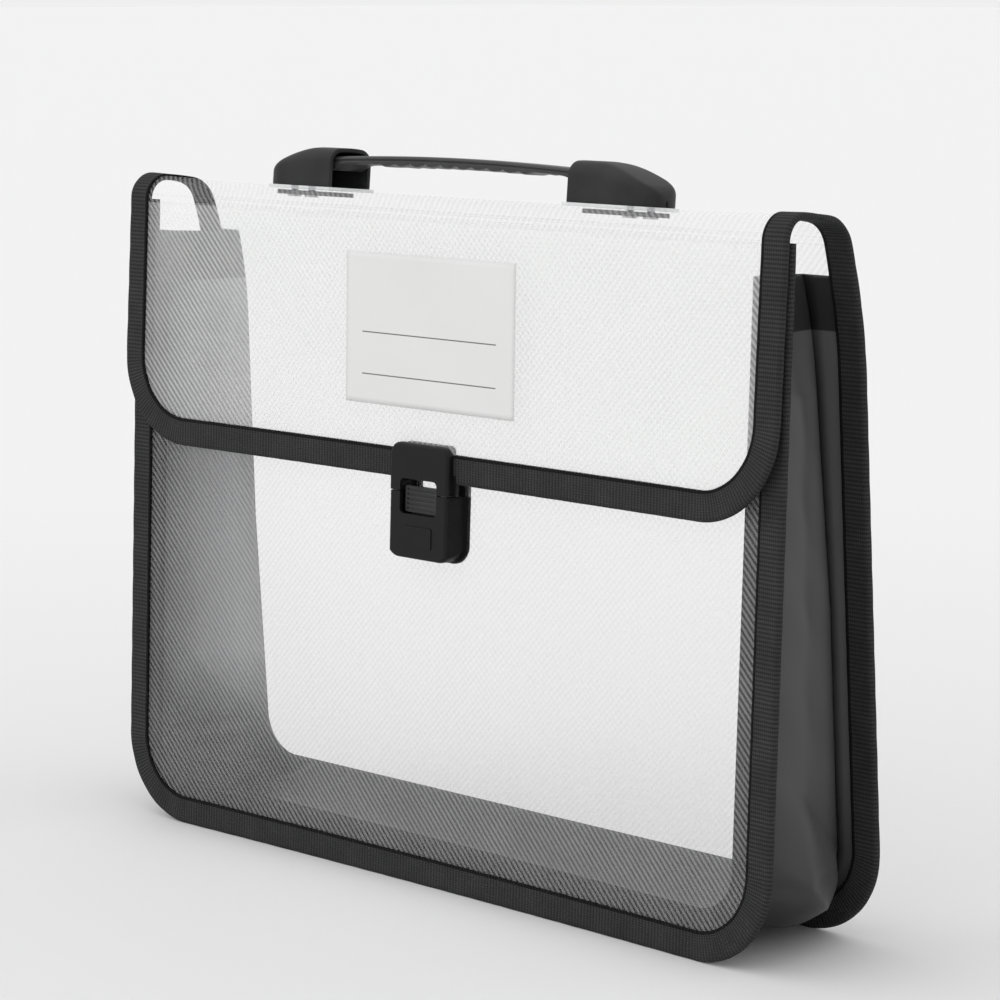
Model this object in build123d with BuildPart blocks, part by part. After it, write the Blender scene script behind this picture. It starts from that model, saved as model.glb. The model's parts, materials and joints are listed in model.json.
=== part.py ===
from build123d import *
import os
from dataclasses import dataclass
from math import atan, cos, degrees, radians, sin

# Translucent expanding file for A4 papers: a bound front panel and a bound back sheet that
# runs on over the top as a flap, joined round both sides and the foot by a dark film gusset.
# It has a strap handle on top and a push latch on the front.
# Millimetres, +Z up. X runs across, -Y is the front. The origin is on the floor, in the middle.

# Case
case_width = 330.0
front_foot_y = -31.24
back_foot_y = 30.76
corner_radius = 33.0
least_corner = 2.0
front_lean = 0.0364
back_lean = 0.069
front_height = 240.5
back_straight = 194.06

# Sheets, binding tape and gusset film
sheet = 0.8
tape = 0.8
tape_width = 10.5
edge_cover = 1.3
film = 0.3
film_play = 0.15
panel_slot = sheet + film + 2 * film_play
panel_thickness = tape + panel_slot + tape
flap_thickness = tape + sheet + tape
front_bow_foot = 2.8
front_bow_top = 5.2
crease_gap = 0.4
crease_reach = 7.0

# The back sheet's run over the top, as arcs of a radius and a turn in degrees
back_curve = (182.0, 14.8)
back_corner = (13.4, 61.0)
top_crown = (134.0, 5.5)
front_corner_radius = 9.6

# Flap
flap_lean = 0.0591
flap_length = 93.3
flap_bow = 4.0
flap_corner_radius = 34.0
label_size = (85.6, 54.4)
label_thickness = 0.25
label_centre = (1.0, 52.3)

# Gusset
gusset_inset = 18.0
gusset_top = 229.0
gusset_curve_turn = 11.0
gusset_top_cut = 1.2

# Latch, in the front panel's own plane: across, up, and out from the binding's face
latch_face = 3.8
lock_foot = 119.6
lock_split = 143.3
lock_half_width = 16.3
lock_face_half_width = 14.5
lock_corner = 6.0
lock_wall = 1.4
lock_side_wall = 4.0
hollow_corner = 3.0
lock_edge = 1.4
relief_centre = 127.6
relief_size = (14.4, 7.6)
relief_corner = 0.8
relief_height = 0.3
base_half_width = 18.0
base_top_half_width = 16.4
base_foot = 119.0
base_top = 153.0
base_thickness = 1.4
base_corner = 7.0
base_top_corner = 2.5
view_half_width = 8.5
view_low = 143.9
view_high = 149.5
view_corner = 1.0
window_half_width = 9.3
window_low = 135.6
window_high = 148.2
window_corner = 1.8
pad_half_width = 8.0
pad_low = 136.2
pad_high = 145.6
pad_front = 2.2
pad_back = 0.6
pad_corner = 0.8
pad_rib_pitch = 1.7
pad_rib_depth = 0.35
pad_rib_count = 5
pad_rib_half_width = 7.0
slider_half_width = 6.2
slider_low = 131.6
slider_high = 143.0
slider_back = -3.1
ledge_inner = 7.0
ledge_low = 143.8
ledge_high = 145.3
ledge_front = 0.2
hasp_half_width = 14.9
hasp_low = 143.7
hasp_high = 160.9
hasp_flange_half_width = 16.3
hasp_flange_high = 158.6
hasp_flange_thickness = 1.6
hasp_flange_corner = 3.5
hasp_corner = 4.5
hasp_rear = -0.6
hasp_edge = 1.2
hasp_spare = 4.0
hasp_skin = 1.2
hasp_plate_centre = 155.6
hasp_plate_size = (24.0, 10.6)
hasp_plate_corner = 2.0
hasp_plate_in = -3.0
spring_radius = 2.2
spring_bore = 1.5
spring_depth = -0.6
spring_play = 0.1
rivet_radius = 1.3
rivet_head_radius = 2.6
rivet_head = 0.7
rivet_play = 0.05
rivet_tip = -0.2
tip_play = 0.2
lock_rivet_spots = [(-9.6, 126.8), (9.6, 126.8), (-9.6, 140.6), (9.6, 140.6)]
post_radius = 2.3
post_front = 0.4
post_inner = 7.3
post_outer = 13.3
hasp_rivet_spots = [(-8.5, 156.0), (8.5, 156.0)]
plate_thickness = 1.1
plate_margin = 2.0
plate_corner = 4.0

# Handle, in its own plane on the crown of the top
handle_setback = 1.0
cap_inner = 60.0
cap_length = 37.0
cap_width = 20.5
cap_height = 12.6
cap_flat = 14.5
cap_nose = 0.9
cap_shoulder = 5.5
cap_end_radius = 9.8
mouth_width = 15.8
mouth_depth = 2.0
cavity_width = 17.6
cavity_height = 11.0
cavity_length = 16.0
cavity_shoulder = 2.5
mouth_shoulder = 1.5
handle_base_thickness = 1.0
handle_base_margin = 1.0
handle_base_floor = -5.0
crown_reach = 9.0
inner_plate_width = 11.6
inner_plate_height = 3.0
inner_plate_floor = -3.4
inner_plate_corner = 3.0
grip_width = 15.0
grip_low = 7.9
grip_high = 10.7
grip_edge = 1.0
head_start = 62.4
head_length = 9.0
head_width = 16.6
head_low = 6.4
head_shoulder = 2.2
finger_rib_radius = 1.3
finger_rib_pitch = 6.0
finger_rib_count = 12
screw_radius = 1.3
screw_spots = [80.5, 90.0]
screw_depth = 4.5

# Lengths that only make a cut or a blank pass the faces that it meets
PAST = 1.0
BEYOND = 30.0
ACROSS = Vector(1, 0, 0)


@dataclass
class Panel:
    """A flat or bowed panel: the middle of its outer face's lower edge, and the ways up and across."""

    foot: Vector
    up: Vector
    across: Vector
    height: float
    corner: float
    bow_foot: float = 0.0
    bow_top: float = 0.0

    @property
    def face(self):
        """The plane of the outer face, looking at it from outside."""
        return Plane(self.foot, x_dir=self.across, z_dir=self.across.cross(self.up))

    def plan(self, height):
        """The plane across the panel at a height, its Y axis pointing into the case."""
        return Plane(self.foot + self.up * height, x_dir=self.across, z_dir=self.up)

    def bow(self, height):
        """How far the middle of the panel stands in at a height."""
        return self.bow_foot + (self.bow_top - self.bow_foot) * height / self.height


def after_arc(point, heading, radius, turn):
    """The end of an arc that turns left from a point in the side view."""
    start, end = radians(heading), radians(heading + turn)
    return (
        point[0] + radius * (sin(end) - sin(start)),
        point[1] - radius * (cos(end) - cos(start)),
    )


def leaning(lean):
    """The way up a panel that goes back by lean for each unit of height."""
    return Vector(0, lean, 1).normalized()


# The side view's key points, as (y, z)
back_heading = 90 + degrees(atan(back_lean))
back_foot = Vector(0, back_foot_y, 0)
back_bend_point = back_foot + leaning(-back_lean) * back_straight
back_bend = (back_bend_point.Y, back_bend_point.Z)
back_crease = after_arc(back_bend, back_heading, *back_curve)
back_crease_heading = back_heading + back_curve[1]
crown_start = after_arc(back_crease, back_crease_heading, *back_corner)
crown_heading = back_crease_heading + back_corner[1]
crown_end = after_arc(crown_start, crown_heading, *top_crown)
flap_heading = 270 - degrees(atan(flap_lean))
front_corner = (front_corner_radius, flap_heading - crown_heading - top_crown[1])
flap_crease = after_arc(crown_end, crown_heading + top_crown[1], *front_corner)

front = Panel(
    foot=Vector(0, front_foot_y, 0),
    up=leaning(front_lean),
    across=ACROSS,
    height=front_height,
    corner=corner_radius,
    bow_foot=front_bow_foot,
    bow_top=front_bow_top,
)
back = Panel(
    foot=back_foot,
    up=leaning(-back_lean),
    across=-ACROSS,
    height=back_straight,
    corner=corner_radius,
)
flap_up = leaning(flap_lean)
flap = Panel(
    foot=Vector(0, *flap_crease) - flap_up * flap_length,
    up=flap_up,
    across=ACROSS,
    height=flap_length - crease_gap / 2,
    corner=flap_corner_radius,
    bow_foot=flap_bow,
)


def layer(panel, outer, inner):
    """The panel's whole width between two depths under its outer face, bowed as the panel is."""
    reach = case_width / 2 + PAST
    with BuildPart() as slab:
        for height, bow in ((0, panel.bow_foot), (panel.height, panel.bow_top)):
            with BuildSketch(panel.plan(height)):
                with BuildLine():
                    if bow:
                        ThreePointArc((-reach, outer), (0, outer + bow), (reach, outer))
                        ThreePointArc((-reach, inner), (0, inner + bow), (reach, inner))
                    else:
                        Line((-reach, outer), (reach, outer))
                        Line((-reach, inner), (reach, inner))
                    Line((-reach, outer), (-reach, inner))
                    Line((reach, outer), (reach, inner))
                make_face()
        loft(ruled=True)
    return slab.part


def outline(panel, inset, top=None):
    """A prism through the panel with its outline, drawn in by an inset at the sides and the foot."""
    top = panel.height + BEYOND if top is None else top
    with BuildPart() as prism:
        with BuildSketch(panel.face) as shape:
            with Locations((0, (inset + top) / 2)):
                Rectangle(case_width - 2 * inset, top - inset)
            fillet(shape.vertices().group_by(Axis.Y)[0], max(panel.corner - inset, least_corner))
        extrude(amount=BEYOND, both=True)
    return prism.part


def run(start, heading, arcs, outer, inner, low_x, high_x):
    """A strip bent along a chain of arcs in the side view, between two depths and two X values."""
    with BuildPart() as strip:
        with BuildSketch(Plane.YZ.offset(low_x)):
            with BuildLine():
                ends = []
                for depth in (outer, inner):
                    course = heading
                    here = Vector(
                        start[0] - depth * sin(radians(course)), start[1] + depth * cos(radians(course))
                    )
                    ends.append(here)
                    for radius, turn in arcs:
                        tangent = (cos(radians(course)), sin(radians(course)))
                        bend = JernArc(here, tangent, radius - depth, turn)
                        here = bend @ 1
                        course += turn
                    ends.append(here)
                Line(ends[0], ends[2])
                Line(ends[1], ends[3])
            make_face()
        extrude(amount=high_x - low_x)
    return strip.part


def crease_slots():
    """Two thin slabs that part the sheets and tapes at the two creases."""
    with BuildPart() as slots:
        for point, heading in ((back_crease, back_crease_heading), (flap_crease, flap_heading)):
            way = Vector(0, cos(radians(heading)), sin(radians(heading)))
            with BuildSketch(Plane(Vector(0, *point), x_dir=ACROSS, z_dir=way)):
                Rectangle(case_width + BEYOND, 2 * crease_reach)
            extrude(amount=crease_gap / 2, both=True)
    return slots.part


def panel_sheet(panel):
    """A panel's clear sheet, its edges hidden in the binding."""
    with BuildPart() as made:
        add(layer(panel, tape, tape + sheet))
        add(outline(panel, edge_cover), mode=Mode.INTERSECT)
    return made.part


def binding(panel, thickness):
    """A tape folded round a panel's sides and foot, with the slot that holds the sheet's edge."""
    with BuildPart() as slot:
        add(layer(panel, tape, thickness - tape))
        add(outline(panel, edge_cover), mode=Mode.INTERSECT)
    with BuildPart() as made:
        add(layer(panel, 0, thickness))
        add(outline(panel, 0), mode=Mode.INTERSECT)
        add(outline(panel, tape_width), mode=Mode.SUBTRACT)
        add(slot.part, mode=Mode.SUBTRACT)
    return made.part


def folded_run(start, heading, arcs, thickness, side):
    """A tape folded round the bent side edge of the back sheet, on one side of the case."""
    outside, inside = case_width / 2, case_width / 2 - tape_width
    covered = case_width / 2 - edge_cover
    full = sorted((side * outside, side * inside))
    held = sorted((side * covered, side * (inside - PAST)))
    with BuildPart() as made:
        add(run(start, heading, arcs, 0, thickness, *full))
        add(run(start, heading, arcs, tape, thickness - tape, *held), mode=Mode.SUBTRACT)
    return made.part


def bored(shape, panel, spots, radius):
    """The shape with round holes through it, square to the panel."""
    with BuildPart() as made:
        add(shape)
        for spot in spots:
            with BuildSketch(panel.face.offset(-BEYOND / 2)):
                with Locations(spot):
                    Circle(radius)
            extrude(amount=BEYOND, mode=Mode.SUBTRACT)
    return made.part


def film_flange(panel):
    """The film's flat edge along a panel, from its fold to inside the panel's binding."""
    with BuildPart() as flange:
        add(layer(panel, film_depth, film_depth + film))
        add(outline(panel, edge_cover + film_play), mode=Mode.INTERSECT)
        add(outline(panel, gusset_inset + film), mode=Mode.SUBTRACT)
        with BuildSketch(panel.face):
            with Locations((0, gusset_top / 2)):
                Rectangle(case_width, gusset_top)
        extrude(amount=BEYOND, both=True, mode=Mode.INTERSECT)
    return flange.part


def at_latch(out):
    """The latch's plane at a distance out from the binding's face."""
    return front.face.offset(out)


def under_floor():
    """Everything below the floor, which presses the tapes' lower edges flat."""
    with BuildPart() as ground:
        with BuildSketch(Plane.XY):
            Rectangle(2 * case_width, case_width)
        extrude(amount=-BEYOND)
    return ground.part


def save(part, name):
    """Labels a finished piece and writes it."""
    part.label = name
    export_step(part, f"parts/{name}.step")


os.makedirs("parts", exist_ok=True)
creases = crease_slots()
top_arcs = [back_corner, top_crown, front_corner]
sheet_edge = case_width / 2 - edge_cover
rivet_hole = rivet_radius + rivet_play
film_depth = tape + sheet + film_play
gusset_curve = (back_curve[0], gusset_curve_turn)

# Back sheet: a flat lower part that curves in towards the top crease
with BuildPart() as back_sheet:
    add(panel_sheet(back))
    add(run(back_bend, back_heading, [back_curve], tape, tape + sheet, -sheet_edge, sheet_edge))
    add(creases, mode=Mode.SUBTRACT)
save(back_sheet.part, "back_sheet")

with BuildPart() as back_binding:
    add(binding(back, panel_thickness))
    for side in (-1, 1):
        add(folded_run(back_bend, back_heading, [back_curve], panel_thickness, side))
    add(creases, mode=Mode.SUBTRACT)
    add(under_floor(), mode=Mode.SUBTRACT)
save(back_binding.part, "back_binding")

# Front panel
with BuildPart() as front_sheet:
    add(bored(panel_sheet(front), front, lock_rivet_spots, rivet_hole))
save(front_sheet.part, "front_sheet")

with BuildPart() as front_binding:
    add(binding(front, panel_thickness))
    add(under_floor(), mode=Mode.SUBTRACT)
save(front_binding.part, "front_binding")

# Gusset: one film, folded along a line on each panel, with flanges sewn into both bindings
with BuildPart() as gusset:
    for panel in (front, back):
        inner_face = Plane(panel.foot, x_dir=ACROSS, z_dir=ACROSS.cross(panel.up))
        depth = film_depth if panel is front else -film_depth
        with BuildSketch(inner_face.offset(-depth)) as mouth:
            with Locations((0, (gusset_inset + gusset_top) / 2)):
                Rectangle(case_width - 2 * gusset_inset, gusset_top - gusset_inset)
            fillet(mouth.vertices().group_by(Axis.Y)[0], corner_radius - gusset_inset)
            offset(amount=-film, mode=Mode.SUBTRACT)
            with Locations((0, gusset_top)):
                Rectangle(case_width - 2 * (gusset_inset + film), gusset_top_cut, mode=Mode.SUBTRACT)
    loft(ruled=True)
    add(layer(front, -BEYOND, film_depth), mode=Mode.SUBTRACT)
    add(
        run(back_bend, back_heading, [back_curve], -BEYOND, film_depth, -sheet_edge, sheet_edge),
        mode=Mode.SUBTRACT,
    )
    for panel in (front, back):
        add(film_flange(panel))
    for side in (-1, 1):
        edges = sorted((side * (sheet_edge - film_play), side * (case_width / 2 - gusset_inset - film)))
        add(run(back_bend, back_heading, [gusset_curve], film_depth, film_depth + film, *edges))
save(gusset.part, "gusset")

# Top: the bent part of the back sheet between its two creases, and its two bound ends
crown_middle = after_arc(crown_start, crown_heading, top_crown[0], top_crown[1] / 2)
forward = radians(crown_heading + top_crown[1] / 2)
on_crown = Plane(
    Vector(0, *crown_middle), x_dir=ACROSS, z_dir=Vector(0, sin(forward), -cos(forward))
).offset(handle_base_thickness - tape)
handle_plane = Plane(on_crown.from_local_coords(Vector(0, handle_setback, 0)), ACROSS, on_crown.z_dir)
screw_places = [(side * spot, 0) for side in (-1, 1) for spot in screw_spots]

with BuildPart() as top_sheet:
    add(run(back_crease, back_crease_heading, top_arcs, tape, tape + sheet, -sheet_edge, sheet_edge))
    with BuildSketch(handle_plane):
        with Locations(*screw_places):
            Circle(screw_radius + rivet_play)
    extrude(amount=BEYOND / 4, both=True, mode=Mode.SUBTRACT)
    add(creases, mode=Mode.SUBTRACT)
save(top_sheet.part, "top_sheet")

for name, side in (("left", -1), ("right", 1)):
    with BuildPart() as top_binding:
        add(folded_run(back_crease, back_crease_heading, top_arcs, flap_thickness, side))
        add(creases, mode=Mode.SUBTRACT)
    save(top_binding.part, f"top_binding_{name}")

# Flap
with BuildPart() as flap_sheet:
    add(bored(panel_sheet(flap), front, hasp_rivet_spots, rivet_hole))
save(flap_sheet.part, "flap_sheet")

with BuildPart() as flap_binding:
    add(bored(binding(flap, flap_thickness), front, hasp_rivet_spots, rivet_hole))
save(flap_binding.part, "flap_binding")

with BuildPart() as label:
    add(layer(flap, tape - label_thickness, tape))
    with BuildSketch(flap.face):
        with Locations(label_centre):
            Rectangle(*label_size)
    extrude(amount=BEYOND, both=True, mode=Mode.INTERSECT)
save(label.part, "label")

# Lock on the front panel: base, housing and inner plate, drawn in the panel's plane
lock_middle = (base_foot + base_top) / 2
sheet_out = -(tape + front.bow(lock_middle))
base_out = sheet_out + base_thickness
sheet_in = sheet_out - sheet
OUT = Axis(front.face.origin, front.face.z_dir)


def view_opening(from_out, to_out):
    """The opening behind the window, through which the sheet shows."""
    with BuildPart() as opening:
        with BuildSketch(at_latch(from_out)):
            with Locations((0, (view_low + view_high) / 2)):
                RectangleRounded(2 * view_half_width, view_high - view_low, view_corner)
        extrude(amount=to_out - from_out)
    return opening.part


with BuildPart() as lock_base:
    with BuildSketch(at_latch(sheet_out)) as plate:
        with Locations((0, (base_foot + lock_split) / 2)):
            Rectangle(2 * base_half_width, lock_split - base_foot)
        fillet(plate.vertices().group_by(Axis.Y)[0], base_corner)
        with Locations((0, (lock_split + base_top) / 2)):
            Rectangle(2 * base_top_half_width, base_top - lock_split)
        fillet(plate.vertices().group_by(Axis.Y)[-1], base_top_corner)
    extrude(amount=base_thickness)
    add(view_opening(sheet_out - PAST, base_out + PAST), mode=Mode.SUBTRACT)
    add(layer(front, tape, panel_thickness + BEYOND), mode=Mode.SUBTRACT)
save(bored(lock_base.part, front, lock_rivet_spots, rivet_hole), "lock_base")

housing_depth = latch_face - base_out
front_wall_back = latch_face - lock_wall
with BuildPart() as lock_housing:
    with BuildSketch(front.plan(lock_foot)):
        Polygon(
            (-lock_half_width, -base_out),
            (-lock_face_half_width, -latch_face),
            (lock_face_half_width, -latch_face),
            (lock_half_width, -base_out),
            align=None,
        )
    extrude(amount=hasp_high - lock_foot)
    with BuildSketch(at_latch(base_out)) as shell_outline:
        with Locations((0, (lock_foot + hasp_high) / 2)):
            Rectangle(2 * lock_half_width, hasp_high - lock_foot)
        fillet(shell_outline.vertices().group_by(Axis.Y)[0], lock_corner)
    extrude(amount=housing_depth, mode=Mode.INTERSECT)
    fillet(lock_housing.faces().sort_by(OUT)[-1].edges(), lock_edge)
    with BuildSketch(at_latch(base_out - PAST)):
        with Locations((0, lock_split + BEYOND / 2)):
            Rectangle(3 * lock_half_width, BEYOND)
    extrude(amount=housing_depth + 2 * PAST, mode=Mode.SUBTRACT)
    with BuildSketch(at_latch(base_out)) as hollow:
        with Locations((0, (lock_foot + lock_wall + lock_split + PAST) / 2)):
            Rectangle(2 * (lock_half_width - lock_side_wall), lock_split + PAST - lock_foot - lock_wall)
        fillet(hollow.vertices().group_by(Axis.Y)[0], hollow_corner)
    extrude(amount=housing_depth - lock_wall, mode=Mode.SUBTRACT)
    with BuildSketch(at_latch(front_wall_back - PAST)) as window:
        with Locations((0, (window_low + lock_split + PAST) / 2)):
            Rectangle(2 * window_half_width, lock_split + PAST - window_low)
        fillet(window.vertices().group_by(Axis.Y)[0], window_corner)
    extrude(amount=lock_wall + 2 * PAST, mode=Mode.SUBTRACT)
    with BuildSketch(at_latch(latch_face)):
        with Locations((0, relief_centre)):
            RectangleRounded(*relief_size, relief_corner)
    extrude(amount=relief_height)
    with BuildSketch(at_latch(base_out)):
        with Locations(*lock_rivet_spots[:2]):
            Circle(post_radius)
    extrude(amount=front_wall_back - base_out)
    with BuildSketch(at_latch(base_out)):
        for side in (-1, 1):
            with Locations((side * (post_inner + post_outer) / 2, lock_rivet_spots[2][1])):
                Rectangle(post_outer - post_inner, 2 * post_radius)
    extrude(amount=post_front - base_out)
    with BuildSketch(at_latch(base_out)):
        with Locations(*lock_rivet_spots):
            Circle(rivet_hole)
    extrude(amount=rivet_tip + tip_play - base_out, mode=Mode.SUBTRACT)
save(lock_housing.part, "lock_housing")

with BuildPart() as lock_back_plate:
    with BuildSketch(at_latch(sheet_in - plate_thickness)):
        with Locations((0, lock_middle)):
            RectangleRounded(
                2 * (base_half_width - plate_margin), base_top - base_foot - 2 * plate_margin, plate_corner
            )
    extrude(amount=plate_thickness + PAST)
    add(view_opening(sheet_in - 2 * plate_thickness, sheet_in + 2 * PAST), mode=Mode.SUBTRACT)
    add(layer(front, -BEYOND, tape + sheet), mode=Mode.SUBTRACT)
save(bored(lock_back_plate.part, front, lock_rivet_spots, rivet_hole), "lock_back_plate")

with BuildPart() as lock_rivets:
    with BuildSketch(at_latch(sheet_in - plate_thickness - rivet_head)):
        with Locations(*lock_rivet_spots):
            Circle(rivet_head_radius)
    extrude(amount=rivet_head)
    with BuildSketch(at_latch(sheet_in - plate_thickness)):
        with Locations(*lock_rivet_spots):
            Circle(rivet_radius)
    extrude(amount=rivet_tip - sheet_in + plate_thickness)
save(lock_rivets.part, "lock_rivets")

# Button: a ribbed pad in the window on a slider, pushed up by a spring
with BuildPart() as latch_button:
    with BuildSketch(at_latch(pad_back)):
        with Locations((0, (pad_low + pad_high) / 2)):
            RectangleRounded(2 * pad_half_width, pad_high - pad_low, pad_corner)
    extrude(amount=pad_front - pad_back)
    with BuildSketch(at_latch(pad_front - pad_rib_depth)):
        with Locations((0, (pad_low + pad_high) / 2)):
            with GridLocations(0, pad_rib_pitch, 1, pad_rib_count):
                Rectangle(2 * pad_rib_half_width, pad_rib_pitch / 2)
    extrude(amount=pad_rib_depth + PAST, mode=Mode.SUBTRACT)
    with BuildSketch(at_latch(slider_back)):
        with Locations((0, (slider_low + slider_high) / 2)):
            Rectangle(2 * slider_half_width, slider_high - slider_low)
    extrude(amount=pad_back - slider_back)
save(latch_button.part, "latch_button")

spring_foot = lock_foot + lock_wall + spring_play
with BuildPart() as button_spring:
    with BuildSketch(front.plan(spring_foot)):
        with Locations((0, -spring_depth)):
            Circle(spring_radius)
            Circle(spring_bore, mode=Mode.SUBTRACT)
    extrude(amount=slider_low - spring_play - spring_foot)
save(button_spring.part, "button_spring")

# Hasp on the flap: a cover with the window's upper half and two ledges that the pad holds
ledge_outer = window_half_width + PAST
with BuildPart() as hasp_cover:
    with BuildSketch(at_latch(hasp_rear)) as hasp_outline:
        with Locations((0, (hasp_low - hasp_spare + hasp_high) / 2)):
            Rectangle(2 * hasp_half_width, hasp_high - hasp_low + hasp_spare)
        fillet(hasp_outline.vertices().group_by(Axis.Y)[-1], hasp_corner)
    extrude(amount=latch_face - hasp_rear)
    fillet(hasp_cover.faces().sort_by(OUT)[-1].edges(), hasp_edge)
    with BuildSketch(at_latch(hasp_rear)) as flange_outline:
        with Locations((0, (hasp_low + hasp_flange_high) / 2)):
            Rectangle(2 * hasp_flange_half_width, hasp_flange_high - hasp_low)
        fillet(flange_outline.vertices().group_by(Axis.Y)[-1], hasp_flange_corner)
    extrude(amount=hasp_flange_thickness)
    with BuildSketch(at_latch(hasp_rear - PAST)):
        with Locations((0, hasp_low - hasp_spare)):
            Rectangle(3 * hasp_half_width, 2 * hasp_spare)
    extrude(amount=latch_face - hasp_rear + 2 * PAST, mode=Mode.SUBTRACT)
    with BuildSketch(at_latch(hasp_rear - PAST)) as notch:
        with Locations((0, (hasp_low - PAST + window_high) / 2)):
            Rectangle(2 * window_half_width, window_high - hasp_low + PAST)
        fillet(notch.vertices().group_by(Axis.Y)[-1], window_corner)
    extrude(amount=latch_face - hasp_rear + 2 * PAST, mode=Mode.SUBTRACT)
    with BuildSketch(at_latch(hasp_rear)):
        for side in (-1, 1):
            with Locations((side * (ledge_inner + ledge_outer) / 2, (ledge_low + ledge_high) / 2)):
                Rectangle(ledge_outer - ledge_inner, ledge_high - ledge_low)
    extrude(amount=ledge_front - hasp_rear)
    add(layer(flap, 0, BEYOND), mode=Mode.SUBTRACT)
    with BuildSketch(at_latch(hasp_rear)):
        with Locations(*hasp_rivet_spots):
            Circle(rivet_hole)
    extrude(amount=latch_face - hasp_skin - hasp_rear, mode=Mode.SUBTRACT)
save(hasp_cover.part, "hasp_cover")

with BuildPart() as hasp_back_plate:
    with BuildSketch(at_latch(hasp_plate_in)):
        with Locations((0, hasp_plate_centre)):
            RectangleRounded(*hasp_plate_size, hasp_plate_corner)
    extrude(amount=2 * PAST - hasp_plate_in)
    add(layer(flap, -BEYOND, flap_thickness), mode=Mode.SUBTRACT)
save(bored(hasp_back_plate.part, front, hasp_rivet_spots, rivet_hole), "hasp_back_plate")

with BuildPart() as hasp_rivets:
    with BuildSketch(at_latch(hasp_plate_in - rivet_head)):
        with Locations(*hasp_rivet_spots):
            Circle(rivet_head_radius)
    extrude(amount=rivet_head)
    with BuildSketch(at_latch(hasp_plate_in)):
        with Locations(*hasp_rivet_spots):
            Circle(rivet_radius)
    extrude(amount=latch_face - hasp_skin - tip_play - hasp_plate_in)
save(hasp_rivets.part, "hasp_rivets")


# Handle caps: hollow quarter domes, each on a clear base, screwed from inside
side_plane = Plane(handle_plane.origin, x_dir=ACROSS, z_dir=-handle_plane.y_dir)
end_plane = Plane(handle_plane.origin, x_dir=handle_plane.y_dir, z_dir=ACROSS)


def cap_outline(margin, height, low):
    """A prism with the cap's plan: square at the mouth, round at the far end."""
    with BuildPart() as prism:
        with BuildSketch(handle_plane.offset(low)) as plan:
            with Locations((cap_inner + cap_length / 2, 0)):
                Rectangle(cap_length + 2 * margin, cap_width + 2 * margin)
            fillet(plan.vertices().group_by(Axis.X)[-1], cap_end_radius)
        extrude(amount=height)
    return prism.part


def bar(start, end, width, low, high, shoulder):
    """A bar along the handle from one X to another, its upper edges rounded."""
    with BuildPart() as made:
        with BuildSketch(end_plane.offset(start)) as section:
            with Locations((0, (low + high) / 2)):
                Rectangle(width, high - low)
            fillet(section.vertices().group_by(Axis.Y)[-1], shoulder)
        extrude(amount=end - start)
    return made.part


def screw_holes(low, high):
    """The two screw holes of a cap between two heights."""
    with BuildPart() as holes:
        with BuildSketch(handle_plane.offset(low)):
            with Locations(*[(spot, 0) for spot in screw_spots]):
                Circle(screw_radius + rivet_play)
        extrude(amount=high - low)
    return holes.part


cap_end = cap_inner + cap_length
mouth_end = cap_inner + mouth_depth
with BuildPart() as cap:
    with BuildSketch(side_plane):
        with BuildLine():
            Polyline(
                (cap_end, cap_nose),
                (cap_end, 0),
                (cap_inner, 0),
                (cap_inner, cap_height),
                (cap_inner + cap_flat, cap_height),
            )
            EllipticalCenterArc(
                (cap_inner + cap_flat, cap_nose),
                cap_length - cap_flat,
                cap_height - cap_nose,
                start_angle=0,
                arc_size=90,
            )
        make_face()
    extrude(amount=cap_width, both=True)
    add(cap_outline(0, cap_height + 2 * PAST, -PAST), mode=Mode.INTERSECT)
    add(bar(cap_inner - PAST, cap_end + PAST, cap_width, 0, cap_height, cap_shoulder), mode=Mode.INTERSECT)
    add(
        bar(mouth_end, cap_inner + cavity_length, cavity_width, -PAST, cavity_height, cavity_shoulder),
        mode=Mode.SUBTRACT,
    )
    add(
        bar(cap_inner - PAST, mouth_end + PAST, mouth_width, -PAST, cavity_height, mouth_shoulder),
        mode=Mode.SUBTRACT,
    )
    add(screw_holes(-PAST, screw_depth + tip_play), mode=Mode.SUBTRACT)

with BuildPart() as cap_base:
    add(cap_outline(handle_base_margin, -handle_base_floor, handle_base_floor))
    add(
        run(back_crease, back_crease_heading, top_arcs, tape, crown_reach, -sheet_edge, sheet_edge),
        mode=Mode.SUBTRACT,
    )
    add(screw_holes(handle_base_floor, PAST), mode=Mode.SUBTRACT)

with BuildPart() as cap_plate:
    with BuildSketch(handle_plane.offset(inner_plate_floor)):
        with Locations((cap_inner + cap_length / 2, 0)):
            RectangleRounded(cap_length - 2 * plate_margin, inner_plate_width, inner_plate_corner)
    extrude(amount=inner_plate_height)
    add(
        run(back_crease, back_crease_heading, top_arcs, -3 * PAST, tape + sheet, -sheet_edge, sheet_edge),
        mode=Mode.SUBTRACT,
    )
    add(screw_holes(inner_plate_floor - PAST, PAST), mode=Mode.SUBTRACT)

for piece, name in ((cap, "handle_cap"), (cap_base, "handle_base"), (cap_plate, "handle_back_plate")):
    save(piece.part, f"{name}_right")
    save(mirror(piece.part, about=Plane.YZ), f"{name}_left")

with BuildPart() as handle_screws:
    with BuildSketch(handle_plane.offset(inner_plate_floor - rivet_head)):
        with Locations(*screw_places):
            Circle(rivet_head_radius)
    extrude(amount=rivet_head)
    with BuildSketch(handle_plane.offset(inner_plate_floor)):
        with Locations(*screw_places):
            Circle(screw_radius)
    extrude(amount=screw_depth - inner_plate_floor)
save(handle_screws.part, "handle_screws")

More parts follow.
